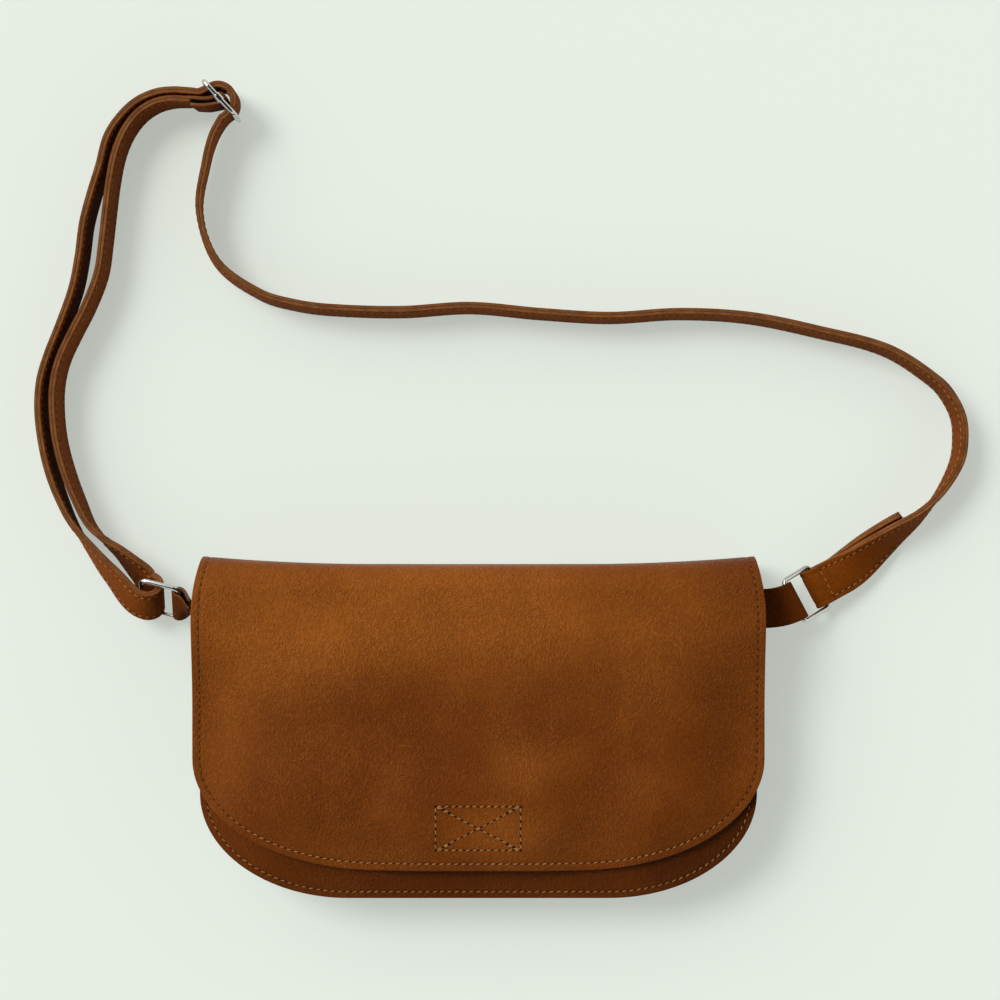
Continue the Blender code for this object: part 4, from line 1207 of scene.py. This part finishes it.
def flap_seam_path():
    """The flap's stitch line, from the wall over the fold, round the flap's edge and back over the fold."""
    side = []
    path = fold_path()
    for step in range(SEWN_FROM_STEP, len(path) - 2):
        y, z = path[step]
        half = fold_half_width(y, z)
        across = half - FLAP_SEAM
        out = fold_way_out(path, step, across / half)
        middle = Vector((across, y + fold_bulge(across / half, z), z))
        side.append((middle + out * (HIDE / 2 - GROOVE_DEPTH), out))
    around = on_surface(flap_outline(FLAP_SEAM), lambda x, y: flap_grain_height(x, y) - GROOVE_DEPTH)
    mirrored = [(Vector((-p.x, p.y, p.z)), n.copy()) for p, n in reversed(side)]
    return side + around + mirrored


flap_thread = bmesh.new()
sew(flap_thread, flap_seam_path())
corners = box_corners(BOX_HALF_LENGTH, BOX_HALF_WIDTH, BOX_Y)
lines = [(start, end, BOX_PITCH) for start, end in zip(corners, corners[1:] + corners[:1])]
lines += [(start, end, BOX_PITCH) for start, end in zip(corners, corners[2:])]
for (x, y), (far_x, far_y) in zip(corners, corners[2:] + corners[:2]):
    tack_x = x + math.copysign(TACK_SHIFT, far_x - x)
    tack_end = (tack_x + (far_x - x) * TACK_SHARE, y + (far_y - y) * TACK_SHARE)
    lines.append(((tack_x, y), tack_end, TACK_PITCH))
for start, end, pitch in lines:
    sew(flap_thread, on_surface(straight(start, end), flap_grain_height), pitch)
# The flap's thread carries painted shade along the flap's two sides.
SIDE_SHADE_THREAD_COLOURS = ((0.20, 0.080, 0.018), (0.48, 0.245, 0.085))
SIDE_SHADED_THREAD = thread("flap thread with painted side shade", *SIDE_SHADE_THREAD_COLOURS, painted_shade_beyond=(0.110, 0.134))
flap_stitches = made("flap_thread", flap_thread, [SIDE_SHADED_THREAD, NEEDLE_HOLE_SHADE])
flap_crease(flap_stitches)


# Strap
# Two strips of hide, 20 mm wide, glued flesh to flesh and sewn along both edges: 1.36 m in all.
# It starts in a sewn lap at the right ring, runs through slider and left ring, and ends on the slider.
LAP_LENGTH = 0.0440
LAP_LOOP = 0.0110
LAP_GAP = 0.0008
TURN_PLAY = 0.0032
TURN_PAST_BAR = 0.0033
STRAND_GAP = 0.0003
SLIDER_REACH = 0.0116
SLIDER_SIDE_PLAY = 0.0034
SLIDER_CORNER = 0.0040
SLIDER_HEADING = math.radians(-47.1)
SLIDER_STRAND_SHARE = 0.695
SLIDER_HUMP_SHARE = 0.10
END_SINGLE_LENGTH = 0.0130
END_TAIL = 0.0120
LOOP_RISE = 0.2516
ROUTE_STEP = 0.0022
LOOP_STEPS = 16
SLIDER_PLACE_SHARES = (0.1165, 1.0000)
MAIN_SHARES = (
    (1.0513, 0.0481, 20, 0.205),
    (1.0800, 0.0807, 41, 0.165),
    (1.1102, 0.1133, 58, 0.12),
    (1.1431, 0.1467, 73, 0.05),
    (1.1704, 0.1860, 84, 0),
    (1.1899, 0.2258, 90, 0),
    (1.2037, 0.2675, 94, 0),
    (1.2077, 0.3072, 95, 0),
    (1.2057, 0.3490, 95, 0),
    (1.1945, 0.3867, 95, 0),
    (1.1727, 0.4249, 95, 0),
    (1.0993, 0.4909, 95, 0),
    (0.9968, 0.5294, 95, 0),
    (0.8944, 0.5580, 95, 0),
    (0.7920, 0.5660, 95, 0),
    (0.6890, 0.5580, 95, 0),
    (0.5863, 0.5660, 95, 0),
    (0.4834, 0.5783, 95, 0),
    (0.3807, 0.5700, 95, 0),
    (0.2780, 0.5743, 95, 0),
    (0.2255, 0.5839, 95, 0),
    (0.1736, 0.6053, 95, 0.02),
    (0.1096, 0.6705, 95, 0.04),
    (0.0835, 0.7742, 95, 0.08),
    (0.0941, 0.8768, 93, 0.12),
    (0.1050, 0.9281, 91, 0.14),
    (0.1193, 0.9622, 90, 0.14),
)
OUTER_SHARES = (
    (0.0872, 1.0159, 90, 0.14),
    (0.0688, 1.0171, 90, 0.13),
    (0.0488, 1.0175, 92, 0.12),
    (0.0229, 1.0123, 94, 0.1),
    (-0.0072, 0.9928, 95, 0.08),
    (-0.0336, 0.9571, 95, 0.05),
    (-0.0491, 0.9213, 95, 0.03),
    (-0.0597, 0.8661, 95, 0.02),
    (-0.0729, 0.8080, 95, 0),
    (-0.0838, 0.7492, 95, 0),
    (-0.0901, 0.6832, 95, 0),
    (-0.0995, 0.6165, 95, 0),
    (-0.1182, 0.5429, 95, 0),
    (-0.1365, 0.4781, 95, 0),
    (-0.1469, 0.4273, 95, 0),
    (-0.1495, 0.3692, 95, 0),
    (-0.1443, 0.3033, 95, 0),
    (-0.1337, 0.2381, 94, 0),
    (-0.1185, 0.1800, 91, 0.01),
    (-0.1021, 0.1331, 86, 0.04),
    (-0.0763, 0.0831, 75, 0.12),
    (-0.0445, 0.0310, 63, 0.3),
)
INNER_SHARES = (
    (-0.0034, 0.0338, 124, 0.04),
    (-0.0198, 0.0568, 115, 0.02),
    (-0.0353, 0.0775, 107, 0.01),
    (-0.0542, 0.0986, 99, 0),
    (-0.0766, 0.1308, 92, 0),
    (-0.0924, 0.1745, 87, 0),
    (-0.1107, 0.2397, 85, 0),
    (-0.1228, 0.3029, 85, 0),
    (-0.1279, 0.3609, 85, 0),
    (-0.1274, 0.4185, 85, 0),
    (-0.1193, 0.4694, 85, 0),
    (-0.1024, 0.5211, 85, 0),
    (-0.0812, 0.5791, 85, 0),
    (-0.0625, 0.6467, 85, 0),
    (-0.0554, 0.7126, 85, 0),
    (-0.0505, 0.7723, 85, 0),
    (-0.0445, 0.8370, 85, 0.01),
    (-0.0361, 0.8927, 85, 0.02),
    (-0.0227, 0.9368, 85, 0.04),
    (-0.0034, 0.9710, 85, 0.07),
    (0.0201, 0.9921, 86, 0.09),
    (0.0459, 1.0000, 88, 0.11),
    (0.0703, 0.9996, 90, 0.13),
)
LOOP_SPREAD = RIGHT_STRAP_BAR.x - LEFT_STRAP_BAR.x
LOOP_BASE = (RIGHT_STRAP_BAR.y + LEFT_STRAP_BAR.y) / 2
TURN_RADIUS = WIRE_RADIUS + WIRE_CLEARANCE + STRAP_HALF + TURN_PLAY


def loop_place(across_share, rise_share, height=0):
    return Vector((LEFT_STRAP_BAR.x + LOOP_SPREAD * across_share, LOOP_BASE + LOOP_RISE * rise_share, height))


SLIDER_ALONG = heading_vector(SLIDER_HEADING)
SLIDER_THROUGH = UP.cross(SLIDER_ALONG)
SLIDER_CENTRE = loop_place(*SLIDER_PLACE_SHARES, SLIDER_SIDE_PLAY / 2 + 2 * WIRE_RADIUS + STRAP_WIDTH / 2)


def route_points(shares):
    """Places along the strap as vectors of x, y, height and tilt, its lower edge just clear of the ground."""
    points = []
    for across, rise, tilt, lift in shares:
        tilt = math.radians(tilt)
        rest = STRAP_WIDTH / 2 * math.sin(tilt) + STRAP_HALF * abs(math.cos(tilt)) + STRAP_GROUND_GAP
        points.append(Vector((*loop_place(across, rise, rest + lift * STRAP_WIDTH), tilt)))
    return points


def smooth_route(points, first_way, last_way):
    """Points at even steps along a smooth curve through the given ones."""
    spans = [(b.xyz - a.xyz).length for a, b in zip(points, points[1:])]
    ways = []
    for step in range(len(points)):
        before = max(step - 1, 0)
        after = min(step + 1, len(points) - 1)
        ways.append((points[after] - points[before]) / sum(spans[before:after]))
    ways[0].xyz, ways[-1].xyz = first_way, last_way
    route = [points[0]]
    for step, span in enumerate(spans):
        count = max(round(span / ROUTE_STEP), 1)
        for part in range(1, count + 1):
            ends = (points[step], ways[step] * span, points[step + 1], ways[step + 1] * span)
            route.append(hermite(*ends, part / count))
    return route


def route_stations(points, first_way, last_way):
    """Stations of the strap along a smooth route, tilted as it says."""
    route = smooth_route(points, first_way, last_way)
    stations = []
    for step, spot in enumerate(route):
        along = (route[min(step + 1, len(route) - 1)] - route[max(step - 1, 0)]).xyz.normalized()
        if step == 0:
            along = first_way
        if step == len(route) - 1:
            along = last_way
        left = UP.cross(along).normalized()
        across = square_to(left * math.cos(spot.w) + UP * math.sin(spot.w), along)
        stations.append((spot.xyz, across, along.cross(across)))
    return stations


def lap_stations():
    """The strap's sewn end under itself and its loop round the right ring's bar."""
    away = heading_vector(RIGHT_RING_HEADING)
    half_apart = STRAP_HALF + LAP_GAP / 2
    loop = []
    for step in range(LOOP_STEPS + 1):
        share = step / LOOP_STEPS
        height = half_apart + (LAP_LOOP_RADIUS - half_apart) * ease(1 - share)
        loop.append((RIGHT_STRAP_BAR + away * LAP_LOOP * share + UP * height, RIGHT_BAR, UP))
    arc = arc_stations(RIGHT_STRAP_BAR, LAP_LOOP_RADIUS, UP, -away, RIGHT_BAR, 2 * LOOP_STEPS)
    under = [(p - 2 * (p - RIGHT_STRAP_BAR).project(UP), a, -n) for p, a, n in loop]
    return under[::-1] + arc[-2:0:-1] + loop


def strap_stations():
    """All stations of the strap, from its sewn lap round its loops to its end at the slider."""
    lap = lap_stations()
    strand, low = SLIDER_REACH * SLIDER_STRAND_SHARE, SLIDER_REACH * SLIDER_HUMP_SHARE
    hump_centre, hump_radius = SLIDER_CENTRE - SLIDER_THROUGH * low, math.hypot(strand, low)
    hump_start = math.atan2(low, strand)
    round_slider = (SLIDER_ALONG, SLIDER_THROUGH, UP, LOOP_STEPS)
    hump = arc_stations(hump_centre, hump_radius, *round_slider, first=hump_start, last=math.pi - hump_start)
    hump_ends = [Vector((*station[0], math.pi / 2)) for station in (hump[0], hump[-1])]
    main_points = [Vector((*lap[-1][0], 0)), *route_points(MAIN_SHARES), hump_ends[0]]
    hump_way = (hump[1][0] - hump[0][0]).normalized()
    main = route_stations(main_points, heading_vector(RIGHT_RING_HEADING), hump_way)
    under_lap = [station for station in main[1:] if (station[0] - lap[-1][0]).length < LAP_LENGTH]
    tail = [(p - n * (2 * STRAP_HALF + LAP_GAP), a, -n) for p, a, n in under_lap]

    turn_way = -LEFT_REACH
    turn_centre, turn_up = LEFT_STRAP_BAR + turn_way * TURN_PAST_BAR, turn_way.cross(LEFT_BAR)
    turn = arc_stations(turn_centre, TURN_RADIUS, turn_up, turn_way, LEFT_BAR, 2 * LOOP_STEPS)
    bar_tilt = math.asin(LEFT_BAR.z)
    outer_points = [hump_ends[1], *route_points(OUTER_SHARES), Vector((*turn[0][0], bar_tilt))]
    outer = route_stations(outer_points, (hump[-1][0] - hump[-2][0]).normalized(), turn_way)

    wrap_radius = WIRE_RADIUS + WIRE_CLEARANCE - SEAM_GAP / 2 + STRAND_GAP
    wrap = arc_stations(SLIDER_CENTRE, wrap_radius, *round_slider, facing=-1, first=math.pi, last=0)
    inner_ends = [Vector((*turn[-1][0], math.pi - bar_tilt)), Vector((*wrap[0][0], math.pi / 2))]
    inner_points = [inner_ends[0], *route_points(INNER_SHARES), inner_ends[1]]
    inner = route_stations(inner_points, -turn_way, SLIDER_THROUGH)
    return tail[::-1] + lap + main[1:] + hump[1:] + outer[1:] + turn[1:] + inner[1:], wrap, inner


STRAP_SEAM = 0.0024
LAYER_FACE = 0.00004
ACROSS_STEPS = 8
STRAP_SHADES = ((0.146, 0.0320, 0.0014), (0.320, 0.082, 0.0085))
STRAP_GRAIN = grain_leather("strap grain", *STRAP_SHADES, 1150.0, 0.8, 0.62, 0.03)
double, wrap, inner = strap_stations()
double_end = len(double)
while (double[double_end - 1][0] - SLIDER_CENTRE).length < END_SINGLE_LENGTH:
    double_end -= 1
beside = STRAP_HALF - SEAM_GAP / 2 + STRAND_GAP
end_tail = []
for point, across, normal in inner[::-1]:
    travelled = (point - SLIDER_CENTRE).length
    if STRAP_HALF * 3 < travelled < END_TAIL + STRAP_HALF * 2:
        end_tail.append((point + normal * beside, across, -normal))

outer_profile = strip_profile(LAYER_FACE, STRAP_HALF, STRAP_SEAM)
inner_profile = [(across, -flesh, -grain) for across, flesh, grain in outer_profile]
outer_layer = strip_mesh(double[:double_end], outer_profile)
inner_layer = strip_mesh(double + wrap[1:] + end_tail, inner_profile)
strap_outer = hide_piece("strap_outer_hide", outer_layer, STRAP_GRAIN)
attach(strap_outer, "bag")
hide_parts("strap_outer_layer")
strap_inner = hide_piece("strap_inner_hide", inner_layer, STRAP_GRAIN)
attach(strap_inner, "bag")
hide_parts("strap_inner_layer")

LAP_SEAM = 0.0052
near_bar = [step for step, (point, _, _) in enumerate(double) if (point - RIGHT_STRAP_BAR).length < LAP_SEAM]
sewn_runs = [double[: near_bar[0]], double[near_bar[-1] + 1 : double_end]]
seam_across = STRAP_WIDTH / 2 - STRAP_SEAM


def in_groove(station, across_by, facing):
    point, across, normal = station
    out = normal * facing
    return point + across * across_by + out * (STRAP_HALF - GROOVE_DEPTH * STRAP_GROOVE), out


def strap_thread(name, facing, across_ends):
    """One face's stitches along both edges of the strap, and across the ends of its runs or not."""
    paths = []
    for run in sewn_runs:
        paths += [[in_groove(station, side * seam_across, facing) for station in run] for side in (-1, 1)]
    for station in across_ends:
        places = [seam_across * step / ACROSS_STEPS for step in range(-ACROSS_STEPS, ACROSS_STEPS + 1)]
        paths.append([in_groove(station, place, facing) for place in places])
    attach(stitched(name, paths, SEWN), "bag")


strap_thread("strap_thread_outer", 1, (sewn_runs[0][-1], sewn_runs[1][0]))
strap_thread("strap_thread_inner", -1, ())


# Slider
# A three-bar slide of the same plated wire, standing on its edge where the strap's end turns round it.
# Its middle bar is bent round the frame at both ends.
EYE_RADIUS = 0.0020
EYE_REACH = 0.0024


def slider():
    half_bar = (STRAP_WIDTH + SLIDER_SIDE_PLAY) / 2 + WIRE_RADIUS
    bm = bmesh.new()
    corners = rounded_rectangle(SLIDER_REACH, half_bar, SLIDER_CORNER)
    frame_path = [SLIDER_CENTRE + SLIDER_ALONG * a + UP * b for a, b in corners]
    add_wire(bm, frame_path, SLIDER_THROUGH, WIRE_RADIUS, closed=True)
    shares = (-1, -0.5, 0, 0.5, 1)
    add_wire(bm, [SLIDER_CENTRE + UP * half_bar * share for share in shares], SLIDER_THROUGH, WIRE_RADIUS)
    for end in (-1, 1):
        centre = SLIDER_CENTRE + UP * (half_bar - EYE_RADIUS + WIRE_RADIUS) * end
        eye_path = [centre + SLIDER_ALONG * EYE_REACH * share for share in shares]
        add_wire(bm, eye_path, SLIDER_THROUGH, EYE_RADIUS)
    piece = made("slider_wire", bm, [NICKEL])
    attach(piece, "slider")
    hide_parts("slider")


slider()


# Floor, light and camera
# A plain pale floor under an even studio sky, with one broad light from the upper left.
# The camera looks straight down from 1.3 m, as in the photograph.
PALE = (0.791, 0.847, 0.783, 1)
SEEN_SHARE = 0.52
FLOOR_GAP = 0.0001
FLOOR_HALF = 6
GLOW_WAY = Vector((-0.62, 0.50, 0.60)).normalized()
SUN_WAY = Vector((-0.62, 0.42, 0.85))
VIEW_PLACE = (0.0109, 0.116, 1.3)
VIEW_HALF = 0.260


def seen_directly(tree):
    """Whether a ray comes from the camera or by way of a mirror or glass."""
    ray = node(tree, "ShaderNodeLightPath").outputs
    seen = maths("MAXIMUM", ray["Is Camera Ray"], ray["Is Glossy Ray"])
    return maths("MAXIMUM", seen, ray["Is Transmission Ray"])


def pale_floor():
    bm = bmesh.new()
    sunk = Matrix.Translation(-FLOOR_GAP * UP)
    bmesh.ops.create_grid(bm, x_segments=1, y_segments=1, size=FLOOR_HALF, matrix=sunk)
    mesh = mesh_of("floor", bm)
    surface, shader, _ = new_surface("pale floor", 0.9, 0.0)
    tree = surface.node_tree
    shader.inputs["Base Color"].default_value = PALE
    bright = node(tree, "ShaderNodeEmission", {"Color": PALE, "Strength": 1.0}).outputs[0]
    seen = times(seen_directly(tree), SEEN_SHARE)
    shown = node(tree, "ShaderNodeMixShader", {0: seen, 1: shader.outputs[0], 2: bright}).outputs[0]
    tree.links.new(shown, tree.nodes["Material Output"].inputs["Surface"])
    mesh.materials.append(surface)
    floor = linked("floor", mesh)


def studio_sky():
    """A pale sky that is dark overhead, with a broad lamp at the upper left."""
    world = bpy.data.worlds.new("studio sky")
    world.use_nodes = True
    bpy.context.scene.world = world
    tree = world.node_tree
    background = tree.nodes["Background"].inputs
    direction = node(tree, "ShaderNodeTexCoord").outputs["Generated"]
    inputs = {0: direction, 1: tuple(GLOW_WAY)}
    facing = node(tree, "ShaderNodeVectorMath", inputs, operation="DOT_PRODUCT").outputs["Value"]
    lamp = ranged(facing, 0.78, 0.95, 0.0, 2.0)
    height = node(tree, "ShaderNodeSeparateXYZ", {0: direction}).outputs["Z"]
    zenith = ranged(height, 0.42, 0.78, 1.0, 0.03)
    tree.links.new(times(total(zenith, lamp), 0.85), background["Strength"])
    background["Color"].default_value = (0.97, 1.0, 0.97, 1)


def lamp():
    data = bpy.data.lights.new("window light", "SUN")
    data.energy = 1.9
    data.angle = math.radians(24)
    data.color = (1.0, 0.985, 0.96)
    light = linked("window light", data)
    light.rotation_euler = (-SUN_WAY).to_track_quat("-Z", "Y").to_euler()


def camera():
    data = bpy.data.cameras.new("camera")
    data.angle = 2 * math.atan(VIEW_HALF / VIEW_PLACE[2])
    view = linked("camera", data)
    view.location = VIEW_PLACE
    bpy.context.scene.camera = view


pale_floor()
studio_sky()
lamp()
camera()
bpy.context.scene.view_settings.view_transform = "Standard"
